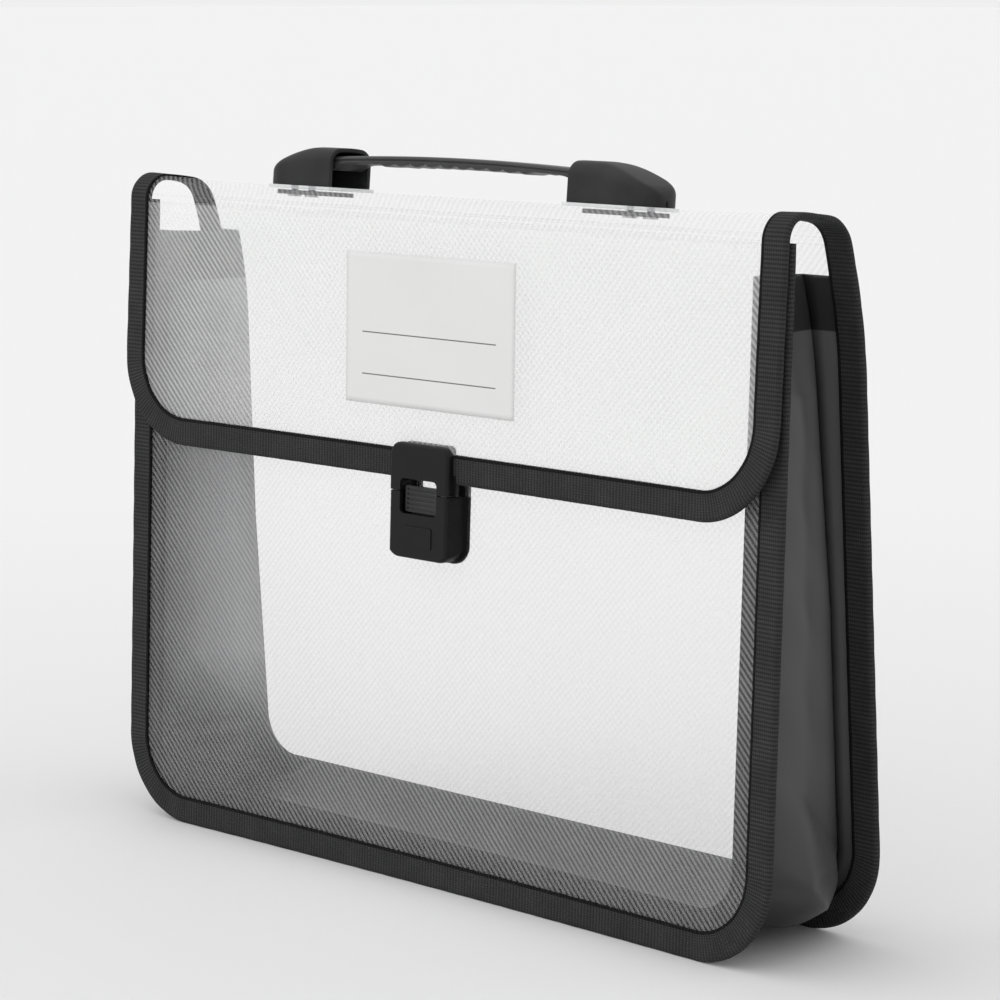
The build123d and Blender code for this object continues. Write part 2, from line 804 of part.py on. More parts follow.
# Grip: a flexible strap with a wider head in each cap and finger ribs underneath
with BuildPart() as handle_grip:
    add(bar(-head_start - PAST, head_start + PAST, grip_width, grip_low, grip_high, grip_edge))
    for start in (head_start, -head_start - head_length):
        add(bar(start, start + head_length, head_width, head_low, grip_high, head_shoulder))
    with BuildSketch(side_plane):
        with Locations((0, grip_low)):
            with GridLocations(finger_rib_pitch, 0, finger_rib_count, 1):
                Circle(finger_rib_radius)
    extrude(amount=grip_width / 2 - grip_edge, both=True)
save(handle_grip.part, "handle_grip")
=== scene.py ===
import json
from math import acos, atan, cos, hypot, pi, radians, sin

import bmesh
import bpy
from mathutils import Matrix, Vector


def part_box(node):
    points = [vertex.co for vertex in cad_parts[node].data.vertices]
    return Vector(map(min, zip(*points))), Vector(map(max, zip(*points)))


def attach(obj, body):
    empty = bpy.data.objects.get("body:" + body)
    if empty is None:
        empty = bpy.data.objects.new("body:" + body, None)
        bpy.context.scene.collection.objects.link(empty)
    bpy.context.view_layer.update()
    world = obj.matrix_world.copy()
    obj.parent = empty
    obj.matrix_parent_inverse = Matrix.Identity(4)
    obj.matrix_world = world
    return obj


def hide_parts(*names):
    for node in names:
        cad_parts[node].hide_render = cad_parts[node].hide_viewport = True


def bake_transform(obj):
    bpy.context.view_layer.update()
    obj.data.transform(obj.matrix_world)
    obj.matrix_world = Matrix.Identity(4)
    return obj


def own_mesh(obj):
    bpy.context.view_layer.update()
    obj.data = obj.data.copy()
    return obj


bl_info = {
    "name": "Expanding File",
    "version": (1, 0, 0),
    "blender": (4, 5, 0),
    "location": "View3D > Sidebar > File Case",
    "description": "Builds a translucent expanding file with a film gusset, a push latch and a strap handle",
    "category": "Add Mesh",
}

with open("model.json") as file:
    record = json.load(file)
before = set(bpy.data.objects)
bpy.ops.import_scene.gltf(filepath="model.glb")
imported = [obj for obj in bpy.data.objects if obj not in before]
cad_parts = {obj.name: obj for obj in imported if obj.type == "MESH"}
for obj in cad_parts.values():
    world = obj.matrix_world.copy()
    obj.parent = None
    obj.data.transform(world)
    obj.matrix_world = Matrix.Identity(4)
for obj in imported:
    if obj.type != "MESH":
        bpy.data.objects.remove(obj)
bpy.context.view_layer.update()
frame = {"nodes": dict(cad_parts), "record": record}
MM = 0.001

# The case in metres, as its side view has it: Y runs from the front to the back
CASE_WIDTH = 330 * MM
FRONT_FOOT_Y = -31.24 * MM
BACK_FOOT_Y = 30.76 * MM
FRONT_LEAN = 0.0364
BACK_LEAN = 0.069
FLAP_LEAN = 0.0591
FRONT_HEIGHT = 240.5 * MM
BACK_STRAIGHT = 194.06 * MM
FLAP_LENGTH = 93.3 * MM
BACK_CURVE = (182.0 * MM, 14.8)
BACK_CORNER = (13.4 * MM, 61.0)
TOP_CROWN = (134.0 * MM, 5.5)
FRONT_CORNER_RADIUS = 9.6 * MM
CORNER_RADIUS = 33 * MM
FLAP_CORNER_RADIUS = 34 * MM
BOW_REACH = CASE_WIDTH / 2 + 1 * MM
FRONT_BOW_FOOT = 2.8 * MM
FRONT_BOW_TOP = 5.2 * MM
FLAP_BOW = 4.0 * MM
TOP_SAG = 1.8 * MM
SAG_ROUNDING = 0.7
SAG_LEVELLING = 2.5

# Sheets, binding tapes and the film's edges
TAPE = 0.8 * MM
SHEET = 0.8 * MM
TAPE_WIDTH = 10.5 * MM
EDGE_COVER = 1.3 * MM
FRONT_TRIM = 0.4 * MM
TOP_STEP = 1.2 * MM
CREASE_STRIP = 1.5 * MM
STRIP_STEP = 0.3 * MM
STRIP_COLUMNS = 200
PANEL_THICKNESS = 3.0 * MM
FLAP_THICKNESS = 2.4 * MM
FILM_DEPTH = 1.75 * MM
LABEL_LENGTH = 54.4 * MM
LABEL_MIDDLE = 52.3 * MM
LABEL_CARD = 0.16 * MM
LABEL_OUT = 0.09 * MM
LABEL_COLUMNS = 40
LABEL_ROWS = 26

# The gusset film: its flanges, and how its wall swells, tucks in, folds and wrinkles
FILM = 0.3 * MM
FILM_STEP = 1.3 * MM
GUSSET_INSET = 18 * MM
GUSSET_TOP = 229 * MM
GUSSET_HEM = 20 * MM
GUSSET_BULGE = 7.5 * MM
GUSSET_TUCK = 4.5 * MM
TUCK_REACH = 2 * GUSSET_HEM
TUCK_ROUNDING = 0.8
SWELL_ROUNDING = 1.6
FOOT_SWELL = 0.35
GUSSET_EDGE_INSET = 1.6 * MM
FLANGE_ROWS = 4
WALL_ROWS = 40
MITRE_START = -12 * MM
MITRE_END = 36 * MM
MITRE_REACH = 34 * MM
MITRE_RISE = 8.0 * MM
MITRE_FRONT = 0.45
MITRE_BACK = 0.12
GUSSET_DEPTH = 45 * MM
FILM_WALL_CUT = 51 * MM
FILM_WIDTH = 2 * GUSSET_INSET + GUSSET_DEPTH
BACK_FOLD_DRIFT = 4.7 * MM
CORNER_CREASE = 1.2 * MM
CORNER_CREASES = 3.0
WRINKLE = 0.35 * MM
WRINKLES = 23
WRINKLE_SLANT = 1.5
WRINKLE_LOSS = 0.6
NO_SLOPE = 0.001

# Ribs of the tapes and sheets
TAPE_RIB = 1.45 * MM
TAPE_RIB_HEIGHT = 0.16 * MM
TAPE_FLAT_WIDTH = 21.4 * MM
TAPE_THREAD = 0.75 * MM
# Painted shadow lines along the tapes' inner edges, where they meet the sheets
EDGE_SHADOW_MIDDLE = 0.4 * MM
EDGE_SHADOW_REACH = 0.55 * MM
FOLD_STEPS = 8
SHEET_RIB = 1.95 * MM

# The button's spring
SPRING_RADIUS = 1.85 * MM
SPRING_WIRE = 0.7 * MM
SPRING_LENGTH = 10.4 * MM
SPRING_CLOSED_PITCH = 0.75 * MM
SPRING_TURNS = 4
SPRING_STEPS = 18

# The handle: two caps and the strap between them, with heights over the caps' foot
HANDLE_RISE = 0.2 * MM
HANDLE_SETBACK = 1.0 * MM
HANDLE_FOOT = (0, -6.8 * MM, 247.85 * MM)
HANDLE_TILT = 0.0864
SOLID_TILT = 0.1310
CAP_INNER = 60 * MM
CAP_LENGTH = 37 * MM
CAP_WIDTH = 20.5 * MM
CAP_HEIGHT = 14.4 * MM
CAP_FLAT = 11 * MM
CAP_DROP = 9.1 * MM
CAP_FALL = 1.6
CAP_TIP = 3 * MM
CAP_TIP_START = 33 * MM
CAP_SHOULDER = 5.5 * MM
SHOULDER_LOSS = 0.62
SHOULDER_OF_HEIGHT = 0.8
SHOULDER_OF_WIDTH = 0.9
CAP_CROWN = 0.2 * MM
CAP_END_RADIUS = 9.8 * MM
CAP_WALL = 1.6 * MM
CAP_STATIONS = 36
CAP_STATION_SPREAD = 1.5
CAP_SIDE_STEPS = 4
CAP_ROUND_STEPS = 8
CAP_TOP_STEPS = 3
BASE_CUT = 1.3 * MM
GRIP_WIDTH = 15 * MM
GRIP_LOW = 8.5 * MM
GRIP_HIGH = 11.4 * MM
GRIP_ARCH = 1.5 * MM
GRIP_REACH = 71.4 * MM
GRIP_STATIONS = 260
GRIP_TOP = ((0.0, 0.15 * MM), (0.45, 0.12 * MM), (0.8, 0.0), (0.93, -0.25 * MM), (1.0, -0.75 * MM))
GROOVE = 0.35 * MM
GRIP_GROOVE = ((0.0, 1.2 * MM), (GROOVE, 1.4 * MM), (GROOVE, 1.6 * MM), (0.0, 1.8 * MM))
GRIP_UNDER = ((1.0, GROOVE), (0.95, GROOVE * 2 / 3), (0.85, 0.0), (0.55, 0.0), (0.25, 0.0), (0.0, 0.0))
DEEPENING = (CAP_INNER - 7 * MM, CAP_INNER + 1 * MM)
HEAD_START = 62.4 * MM
HEAD_FLARE = 1.5 * MM
HEAD_WIDTH = 16.6 * MM
HEAD_LOW = 6.3 * MM
RIBBED_REACH = 42 * MM
RIB_FADE = 6 * MM
FINGER_PITCH = 7.8 * MM
FINGER_RIB = 1.0 * MM
FINGER_ZONE = 0.4 * MM
FINGER_SLANT = 0.35
FINGER_LEAN = 0.65

# Finishes
SHEET_GLOW = 0.13
STRAIGHT_WAVE = 0.31416
DIAGONAL_WAVE = 0.4443
FOOT_SHADE = (15 * MM, 60 * MM)
SIDE_SHADE = (60 * MM, 130 * MM)
LABEL_LINES = (10.6 * MM, 25.7 * MM)
LABEL_LINE_ENDS = (8.5 * MM, 76.5 * MM)
LABEL_LINE = 0.22 * MM

# The stage
FLOOR_REACH = 40
FLOOR_FADE = (0.1, 1.1)
SUN_WAY = (0.35, 0.55, -0.76)
CAMERA_EYE = (0.8559, -0.84494, 0.3215)
CAMERA_WAY = (-0.6989, 0.6992, -0.1509)
CAMERA_LENS = 121.37


class Course:
    """The side view of a sheet: straight runs and arcs, one after another, from its foot upwards."""

    def __init__(self, foot, heading, pieces, inward):
        self.inward = inward
        self.spans = []
        y, z = foot
        self.length = 0.0
        for size, turn in pieces:
            length = size * radians(turn) if turn else size
            self.spans.append((self.length, y, z, heading, size, turn))
            if turn:
                y += size * (sin(heading + radians(turn)) - sin(heading))
                z -= size * (cos(heading + radians(turn)) - cos(heading))
                heading += radians(turn)
            else:
                y += size * cos(heading)
                z += size * sin(heading)
            self.length += length

    def at(self, run, depth=0.0):
        """The (y, z) at a distance along the course and a depth under its outer face."""
        span = [s for s in self.spans if s[0] <= max(run, 0)][-1]
        start, y, z, heading, size, turn = span
        along = run - start
        if turn:
            angle = heading + along / size
            y += size * (sin(angle) - sin(heading))
            z -= size * (cos(angle) - cos(heading))
            heading = angle
        else:
            y += along * cos(heading)
            z += along * sin(heading)
        return y - self.inward * depth * sin(heading), z + self.inward * depth * cos(heading)


back_heading = pi / 2 + atan(BACK_LEAN)
flap_heading = 3 * pi / 2 - atan(FLAP_LEAN)
turned = back_heading + radians(BACK_CURVE[1] + BACK_CORNER[1] + TOP_CROWN[1])
FRONT_CORNER = (FRONT_CORNER_RADIUS, (flap_heading - turned) * 180 / pi)
WRAP = Course(
    (BACK_FOOT_Y, 0), back_heading,
    [(BACK_STRAIGHT, 0), BACK_CURVE, BACK_CORNER, TOP_CROWN, FRONT_CORNER, (FLAP_LENGTH, 0)], 1,
)
FRONT = Course((FRONT_FOOT_Y, 0), pi / 2 - atan(FRONT_LEAN), [(FRONT_HEIGHT, 0)], -1)
BACK_CREASE = WRAP.spans[2][0]
FRONT_CREASE = WRAP.spans[5][0]
CROWN_MIDDLE = (WRAP.spans[3][0] + WRAP.spans[4][0]) / 2


def part_way(value, start, end):
    """How far a value has come from a start to an end, from 0 to 1."""
    return min(max((value - start) / (end - start), 0), 1)


def wrap_point(across, run, depth):
    """A point of the long back sheet, which runs from the back's foot over the top to the flap's edge."""
    bow = 0.0
    if BACK_CREASE < run < FRONT_CREASE:
        share = (run - BACK_CREASE) / (FRONT_CREASE - BACK_CREASE)
        bow = TOP_SAG * sin(pi * share) ** SAG_ROUNDING * (1 - abs(across / BOW_REACH) ** SAG_LEVELLING)
    if run > FRONT_CREASE:
        bow = FLAP_BOW * (run - FRONT_CREASE) / FLAP_LENGTH * (1 - (across / BOW_REACH) ** 2)
    y, z = WRAP.at(run, depth + bow)
    return Vector((across, y, z))


def front_point(across, run, depth):
    """A point of the front panel."""
    bow = FRONT_BOW_FOOT + (FRONT_BOW_TOP - FRONT_BOW_FOOT) * run / FRONT_HEIGHT
    y, z = FRONT.at(run, depth + bow * (1 - (across / BOW_REACH) ** 2))
    return Vector((across, y, z))


def corner_run(across, height, in_x, in_run):
    """Distance along a bound edge from where its lower corner starts to round, counted towards the foot."""
    if abs(in_run) < NO_SLOPE:
        return CORNER_RADIUS - height
    if abs(in_x) < NO_SLOPE:
        return CORNER_RADIUS * pi / 2 + CASE_WIDTH / 2 - CORNER_RADIUS - abs(across)
    return CORNER_RADIUS * acos(min(abs(in_x), 1))


def gusset_point(place, along, row, first_row):
    """A point of the gusset: the front panel's flange, the wall between the panels, or the back's flange."""
    across, height, in_x, in_run = place

    def on_panel(panel_point, inset):
        return panel_point(across + in_x * inset, height + in_run * inset, FILM_DEPTH)

    back_fold = GUSSET_INSET + BACK_FOLD_DRIFT * part_way(height, GUSSET_TOP / 2, GUSSET_TOP) * abs(in_x)
    if first_row == 0:
        inset = GUSSET_EDGE_INSET + (GUSSET_INSET - GUSSET_EDGE_INSET) * row / FLANGE_ROWS
        return on_panel(front_point, inset)
    if first_row == FLANGE_ROWS + WALL_ROWS:
        left = (2 * FLANGE_ROWS + WALL_ROWS - row) / FLANGE_ROWS
        return on_panel(wrap_point, GUSSET_EDGE_INSET + (back_fold - GUSSET_EDGE_INSET) * left)
    share = (row - FLANGE_ROWS) / WALL_ROWS
    point = on_panel(front_point, GUSSET_INSET).lerp(on_panel(wrap_point, back_fold), share)
    tucked = part_way(height, GUSSET_TOP - TUCK_REACH, GUSSET_TOP) ** TUCK_ROUNDING
    swell = GUSSET_BULGE * (1 - tucked) - GUSSET_TUCK * tucked
    swell *= (1 - abs(2 * share - 1) ** SWELL_ROUNDING) * (1 + FOOT_SWELL * abs(in_run))
    ridge = MITRE_START + (MITRE_END - MITRE_START) * share
    boxed = MITRE_RISE * max(1 - abs(corner_run(*place) - ridge) / MITRE_REACH, 0)
    boxed *= min(share / MITRE_FRONT, (1 - share) / MITRE_BACK, 1)
    in_corner = 2 * abs(in_x * in_run)
    crease = CORNER_CREASE * in_corner * sin(CORNER_CREASES * pi * in_corner)
    wrinkle = WRINKLE * sin(2 * pi * (along * WRINKLES + share * WRINKLE_SLANT))
    wrinkle *= 1 - abs(in_run) * WRINKLE_LOSS
    lift = swell + boxed + (crease + wrinkle) * sin(pi * share)
    point.x -= in_x * lift
    point.z -= in_run * lift
    return point


def tilted(tilt):
    """The ways to the back and up on a part that leans back."""
    return Vector((0, cos(tilt), -sin(tilt))), Vector((0, sin(tilt), cos(tilt)))


def handle_point(along, aside, up):
    """A point of the handle: along the case from its middle, towards the back, and up from the caps' foot."""
    back_way, up_way = tilted(HANDLE_TILT)
    return Vector(HANDLE_FOOT) + Vector((along, 0, 0)) + back_way * aside + up_way * up


def cap_section(along):
    """A cap's outer section at a distance from its mouth, as (aside, up) points over the top."""
    slope = part_way(along, CAP_FLAT, CAP_LENGTH)
    tip = part_way(along, CAP_TIP_START, CAP_LENGTH)
    high = CAP_HEIGHT - CAP_DROP * slope ** CAP_FALL - CAP_TIP * (1 - (1 - tip ** 2) ** 0.5)
    rounding = max(along - (CAP_LENGTH - CAP_END_RADIUS), 0)
    half = CAP_WIDTH / 2 - CAP_END_RADIUS + max(CAP_END_RADIUS ** 2 - rounding ** 2, 0) ** 0.5
    shoulder = CAP_SHOULDER * (1 - SHOULDER_LOSS * slope)
    shoulder = min(shoulder, SHOULDER_OF_HEIGHT * high, SHOULDER_OF_WIDTH * half)
    points = [(half, (high - shoulder) * index / CAP_SIDE_STEPS) for index in range(CAP_SIDE_STEPS + 1)]
    for index in range(1, CAP_ROUND_STEPS + 1):
        angle = pi / 2 * index / CAP_ROUND_STEPS
        points.append((half - shoulder * (1 - cos(angle)), high - shoulder * (1 - sin(angle))))
    for index in range(1, CAP_TOP_STEPS + 1):
        aside = (half - shoulder) * (1 - index / CAP_TOP_STEPS)
        crown = CAP_CROWN * (1 - (aside / max(half - shoulder, MM)) ** 2) * (1 - slope)
        points.append((aside, high + crown))
    return points + [(-aside, up) for aside, up in reversed(points[:-1])]


def grip_section(along):
    """The strap's section at a distance from its middle: crowned on top, grooved aside and ribbed below."""
    reach = abs(along)
    widening = part_way(reach, HEAD_START, HEAD_START + HEAD_FLARE)
    half = (GRIP_WIDTH + (HEAD_WIDTH - GRIP_WIDTH) * widening) / 2
    low = GRIP_LOW - (GRIP_LOW - HEAD_LOW) * part_way(reach, *DEEPENING) ** 2
    arch = GRIP_ARCH * (1 - min(reach / CAP_INNER, 1) ** 2)
    fade = part_way(reach, RIBBED_REACH, RIBBED_REACH - RIB_FADE)
    points = [(half * share, GRIP_HIGH + rise) for share, rise in GRIP_TOP]
    points += [(half - inset, GRIP_HIGH - drop) for inset, drop in GRIP_GROOVE]
    points += [(half * share, low + rise) for share, rise in GRIP_UNDER]
    points += [(-aside, up) for aside, up in reversed(points[1:-1])]
    shaped = []
    for aside, up in points:
        if up < low + FINGER_ZONE:
            phase = ((along + FINGER_SLANT * aside) / FINGER_PITCH) % 1
            up -= FINGER_RIB * sin(pi * phase ** FINGER_LEAN) * fade
        shaped.append((aside, up + arch))
    return shaped


def moved_handle_part(name, node, body, cut=None):
    """A copy of a solid part of the handle, brought down to where the sagging sheet carries it.

    With a cut, only what lies above that depth under the caps' foot is kept."""
    shape = bmesh.new()
    shape.from_mesh(frame["nodes"][node].data)
    bmesh.ops.remove_doubles(shape, verts=shape.verts, dist=0.001 * MM)
    y, z = WRAP.at(CROWN_MIDDLE)
    back_way, up_way = tilted(SOLID_TILT)
    foot = Vector((0, y, z)) + up_way * HANDLE_RISE + back_way * HANDLE_SETBACK
    turn = Matrix.Rotation(SOLID_TILT - HANDLE_TILT, 3, "X")
    bmesh.ops.rotate(shape, verts=shape.verts, cent=foot, matrix=turn)
    bmesh.ops.translate(shape, verts=shape.verts, vec=Vector(HANDLE_FOOT) - foot)
    if cut:
        bmesh.ops.bisect_plane(
            shape, geom=shape.verts[:] + shape.edges[:] + shape.faces[:], plane_co=handle_point(0, 0, -cut),
            plane_no=tilted(HANDLE_TILT)[1], clear_inner=True)
        bmesh.ops.holes_fill(shape, edges=shape.edges)
    return new_piece(name, shape, body, smooth=False)


def new_piece(name, shape, body=None, smooth=True):
    """Makes an object from a bmesh and lets it ride on a body."""
    mesh = bpy.data.meshes.new(name)
    for face in shape.faces:
        face.smooth = smooth
    shape.to_mesh(mesh)
    shape.free()
    piece = bpy.data.objects.new(name, mesh)
    bpy.context.collection.objects.link(piece)
    if body:
        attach(piece, body)
    return piece


def give_wall(piece, thickness, offset=0, two_sided=False):
    """Gives a sheet its thickness, and with two_sided its second material to the inner face."""
    wall = piece.modifiers.new("thickness", "SOLIDIFY")
    wall.thickness = thickness
    wall.offset = offset
    wall.material_offset = int(two_sided)
    return wall


def round_edges(piece, width, segments, angle):
    """Rounds the edges that are sharper than an angle in degrees."""
    edges = piece.modifiers.new("edges", "BEVEL")
    edges.width = width
    edges.segments = segments
    edges.limit_method = "ANGLE"
    edges.angle_limit = radians(angle)


def distances(course):
    """The distance along a course of points at each of them."""
    run = [0.0]
    for first, second in zip(course, course[1:]):
        run.append(run[-1] + hypot(second[0] - first[0], second[1] - first[1]))
    return run


def flat_grid(columns, rows):
    """A flat grid with X and Y from 0 to 1, and its UV layer."""
    shape = bmesh.new()
    bmesh.ops.create_grid(shape, x_segments=columns, y_segments=rows, size=0.5)
    bmesh.ops.translate(shape, verts=shape.verts, vec=(0.5, 0.5, 0))
    return shape, shape.loops.layers.uv.new("flat")


def lay_flat(shape, flat, where):
    """Writes a grid's flat layout: where each of its points lies on the sheet as it is cut."""
    for face in shape.faces:
        for loop in face.loops:
            loop[flat].uv = where(loop.vert.co.x, loop.vert.co.y)


def turn_outwards(shape, outwards):
    """Turns the faces of an open sheet so that together they face a direction."""
    shape.normal_update()
    if sum(face.normal.dot(outwards) * face.calc_area() for face in shape.faces) < 0:
        bmesh.ops.reverse_faces(shape, faces=shape.faces)


def round_off(across, run, half_width, low, high, low_radius, high_radius):
    """Moves a point of a square-cornered sheet to where it lies on the sheet with rounded corners."""
    for end, radius, way in ((low, low_radius, -1), (high, high_radius, 1)):
        if not radius:
            continue
        dx = abs(across) - (half_width - radius)
        dy = way * (run - end) + radius
        if dx > 0 and dy > 0:
            share = max(dx, dy) / hypot(dx, dy)
            across = (half_width - radius + dx * share) * (1 if across > 0 else -1)
            run = end + way * (dy * share - radius)
    return across, run


def bent_sheet(name, body, place, low, high, low_radius, high_radius, depth, half_width, step,
               uv_way=1, thickness=SHEET, columns=0):
    """A sheet cut flat with rounded corners, then bent to its course and given its thickness."""
    columns = columns or int(2 * half_width / step)
    rows = max(int((high - low) / step), 2)
    shape, flat = flat_grid(columns, rows)
    for vert in shape.verts:
        across = (vert.co.x - 0.5) * 2 * half_width
        run = low + vert.co.y * (high - low)
        across, run = round_off(across, run, half_width, low, high, low_radius, high_radius)
        vert.co = (across, run, 0)
    lay_flat(shape, flat, lambda x, y: (x, uv_way * y))
    for vert in shape.verts:
        vert.co = place(vert.co.x, vert.co.y, depth + thickness / 2)
    turn_outwards(shape, place(0, (low + high) / 2, 0) - place(0, (low + high) / 2, 1 * MM))
    piece = new_piece(name, shape, body)
    give_wall(piece, thickness, two_sided=True).use_even_offset = True
    return piece


def outline_course(low, high, low_radius, half_width, closed_end, step):
    """Points along a bound edge, from one top end down a side, round the foot and up the other side.

    Each is the place on the flat sheet and the way in from its edge. With closed_end above low the
    foot is at the high end instead, as on the flap."""
    points = []
    way = 1 if closed_end == low else -1
    top = high if closed_end == low else low
    straight = abs(top - closed_end) - low_radius

    def add(count, where):
        for index in range(count):
            points.append(where(index / count))

    side_count = max(int(straight / step), 2)
    arc_count = max(int(low_radius * pi / 2 / step), 12)
    foot_count = max(int(2 * (half_width - low_radius) / step), 2)
    centre = closed_end + way * low_radius
    add(side_count, lambda t: (-half_width, top + (centre - top) * t, 1, 0))
    add(arc_count, lambda t: (
        -half_width + low_radius - low_radius * cos(t * pi / 2), centre - way * low_radius * sin(t * pi / 2),
        cos(t * pi / 2), way * sin(t * pi / 2)))
    add(foot_count, lambda t: (
        -half_width + low_radius + 2 * (half_width - low_radius) * t, closed_end, 0, way))
    add(arc_count, lambda t: (
        half_width - low_radius + low_radius * sin(t * pi / 2), centre - way * low_radius * cos(t * pi / 2),
        -sin(t * pi / 2), way * cos(t * pi / 2)))
    add(side_count, lambda t: (half_width, centre + (top - centre) * t, -1, 0))
    points.append((half_width, top, -1, 0))
    return points


def tape_section(thickness, half_steps):
    """Inset and depth of a folded tape's middle line, from its outer edge round the fold to the inner one."""
    fold = (thickness - TAPE) / 2
    leg = TAPE_WIDTH - fold - TAPE / 2
    section = [(TAPE_WIDTH - leg * index / half_steps, TAPE / 2) for index in range(half_steps + 1)]
    for index in range(1, FOLD_STEPS):
        angle = pi * index / FOLD_STEPS
        section.append((TAPE / 2 + fold * (1 - sin(angle)), TAPE / 2 + fold * (1 - cos(angle))))
    for index in range(half_steps + 1):
        section.append((TAPE_WIDTH - leg + leg * index / half_steps, thickness - TAPE / 2))
    return section


def folded_tape(name, place, course, thickness_at, half_steps=10):
    """A flat tape folded in half round a sheet's edge, all along a course of points on the flat sheet."""
    columns = len(course) - 1
    rows = len(tape_section(FLAP_THICKNESS, half_steps)) - 1
    shape, flat = flat_grid(columns, rows)
    run = distances(course)
    whole_ribs = round(run[-1] / TAPE_RIB)
    lay_flat(shape, flat, lambda x, y: (
        run[round(x * columns)] / run[-1] * whole_ribs * TAPE_RIB, y * TAPE_FLAT_WIDTH))
    for vert in shape.verts:
        column, row = round(vert.co.x * columns), round(vert.co.y * rows)
        across, along, in_x, in_run = course[column]
        inset, depth = tape_section(thickness_at(along), half_steps)[row]
        rib = abs(sin(pi * run[column] / run[-1] * whole_ribs))
        vert.co = place(across + in_x * inset, along + in_run * inset, depth)
        if 0 < row < rows:
            outwards = place(across + in_x * inset, along + in_run * inset, depth - 1 * MM) - vert.co
            side = -1 if row > rows / 2 else 1
            vert.co += outwards.normalized() * side * TAPE_RIB_HEIGHT * (rib - 1)
    bmesh.ops.recalc_face_normals(shape, faces=shape.faces)
    piece = new_piece(name, shape)
    give_wall(piece, TAPE)
    return piece


# Materials


def start_material(name, color, roughness):
    """A material with its principled shader's plain values set."""
    material = bpy.data.materials.new(name)
    material.use_nodes = True
    shader = material.node_tree.nodes["Principled BSDF"]
    shader.inputs["Base Color"].default_value = (*color, 1)
    shader.inputs["Roughness"].default_value = roughness
    return material, material.node_tree.nodes, material.node_tree.links, shader


def uv_source(nodes):
    """The piece's own flat layout, in metres."""
    source = nodes.new("ShaderNodeUVMap")
    source.uv_map = "flat"
    return source.outputs["UV"]


def object_source(nodes):
    """Object coordinates, in metres."""
    return nodes.new("ShaderNodeTexCoord").outputs["Object"]


def noise_of(nodes, links, source, scale, detail=3.0):
    """A noise over a source of coordinates."""
    noise = nodes.new("ShaderNodeTexNoise")
    noise.inputs["Scale"].default_value = scale
    noise.inputs["Detail"].default_value = detail
    links.new(source, noise.inputs["Vector"])
    return noise.outputs["Fac"]


def ramp_of(nodes, links, source, low, high, start=0.0, end=1.0, easing="LINEAR"):
    """Maps a value between a start and an end onto a range."""
    ramp = nodes.new("ShaderNodeMapRange")
    ramp.interpolation_type = easing
    ramp.inputs["From Min"].default_value = start
    ramp.inputs["From Max"].default_value = end
    ramp.inputs["To Min"].default_value = low
    ramp.inputs["To Max"].default_value = high
    links.new(source, ramp.inputs["Value"])
    return ramp.outputs["Result"]


def split_of(nodes, links, source):
    """The X, Y and Z of a vector."""
    split = nodes.new("ShaderNodeSeparateXYZ")
    links.new(source, split.inputs["Vector"])
    return split.outputs


def bump_of(nodes, links, shader, height, strength, distance):
    """Lets a height drive the shader's bump."""
    bump = nodes.new("ShaderNodeBump")
    bump.inputs["Strength"].default_value = strength
    bump.inputs["Distance"].default_value = distance
    links.new(height, bump.inputs["Height"])
    links.new(bump.outputs["Normal"], shader.inputs["Normal"])


def wave_of(nodes, links, source, direction, scale, distortion, detail_scale=3):
    """Parallel bands over a source of coordinates."""
    wave = nodes.new("ShaderNodeTexWave")
    wave.bands_direction = direction
    wave.inputs["Scale"].default_value = scale
    wave.inputs["Distortion"].default_value = distortion
    wave.inputs["Detail Scale"].default_value = detail_scale
    links.new(source, wave.inputs["Vector"])
    return wave.outputs["Fac"]


def added(nodes, links, first, weight, second):
    """The first value times a weight, plus the second."""
    total = nodes.new("ShaderNodeMath")
    total.operation = "MULTIPLY_ADD"
    links.new(first, total.inputs[0])
    total.inputs[1].default_value = weight
    links.new(second, total.inputs[2])
    return total.outputs["Value"]


def product(nodes, links, value, weight):
    """A value times a weight, which is a number or another value."""
    times = nodes.new("ShaderNodeMath")
    times.operation = "MULTIPLY"
    links.new(value, times.inputs[0])
    if isinstance(weight, float):
        times.inputs[1].default_value = weight
    else:
        links.new(weight, times.inputs[1])
    return times.outputs["Value"]


def near(nodes, links, value, middle, reach):
    """1 where a value is within a reach of a middle, and 0 elsewhere."""
    band = nodes.new("ShaderNodeMath")
    band.operation = "COMPARE"
    links.new(value, band.inputs[0])
    band.inputs[1].default_value = middle
    band.inputs[2].default_value = reach
    return band.outputs["Value"]


def mix_colors(nodes, links, factor, first, second):
    """A colour between two by a factor. Each is a plain colour or another node's output."""
    mix = nodes.new("ShaderNodeMix")
    mix.data_type = "RGBA"
    for name, color in (("A", first), ("B", second)):
        if isinstance(color, tuple):
            mix.inputs[name].default_value = (*color, 1)
        else:
            links.new(color, mix.inputs[name])
    links.new(factor, mix.inputs["Factor"])
    return mix.outputs["Result"]


def tinted(color, factor):
    """A colour with each of its values times a factor."""
    return tuple(value * factor for value in color)


def start_sheet_material(name, color, roughness):
    """Translucent sheet plastic. Its faint glow stands for the light that passes through the real sheet."""
    material, nodes, links, shader = start_material(name, color, roughness)
    shader.inputs["Specular IOR Level"].default_value = 0.2
    shader.inputs["Emission Color"].default_value = (1, 1, 1, 1)
    shader.inputs["Emission Strength"].default_value = SHEET_GLOW
    return material, nodes, links, shader


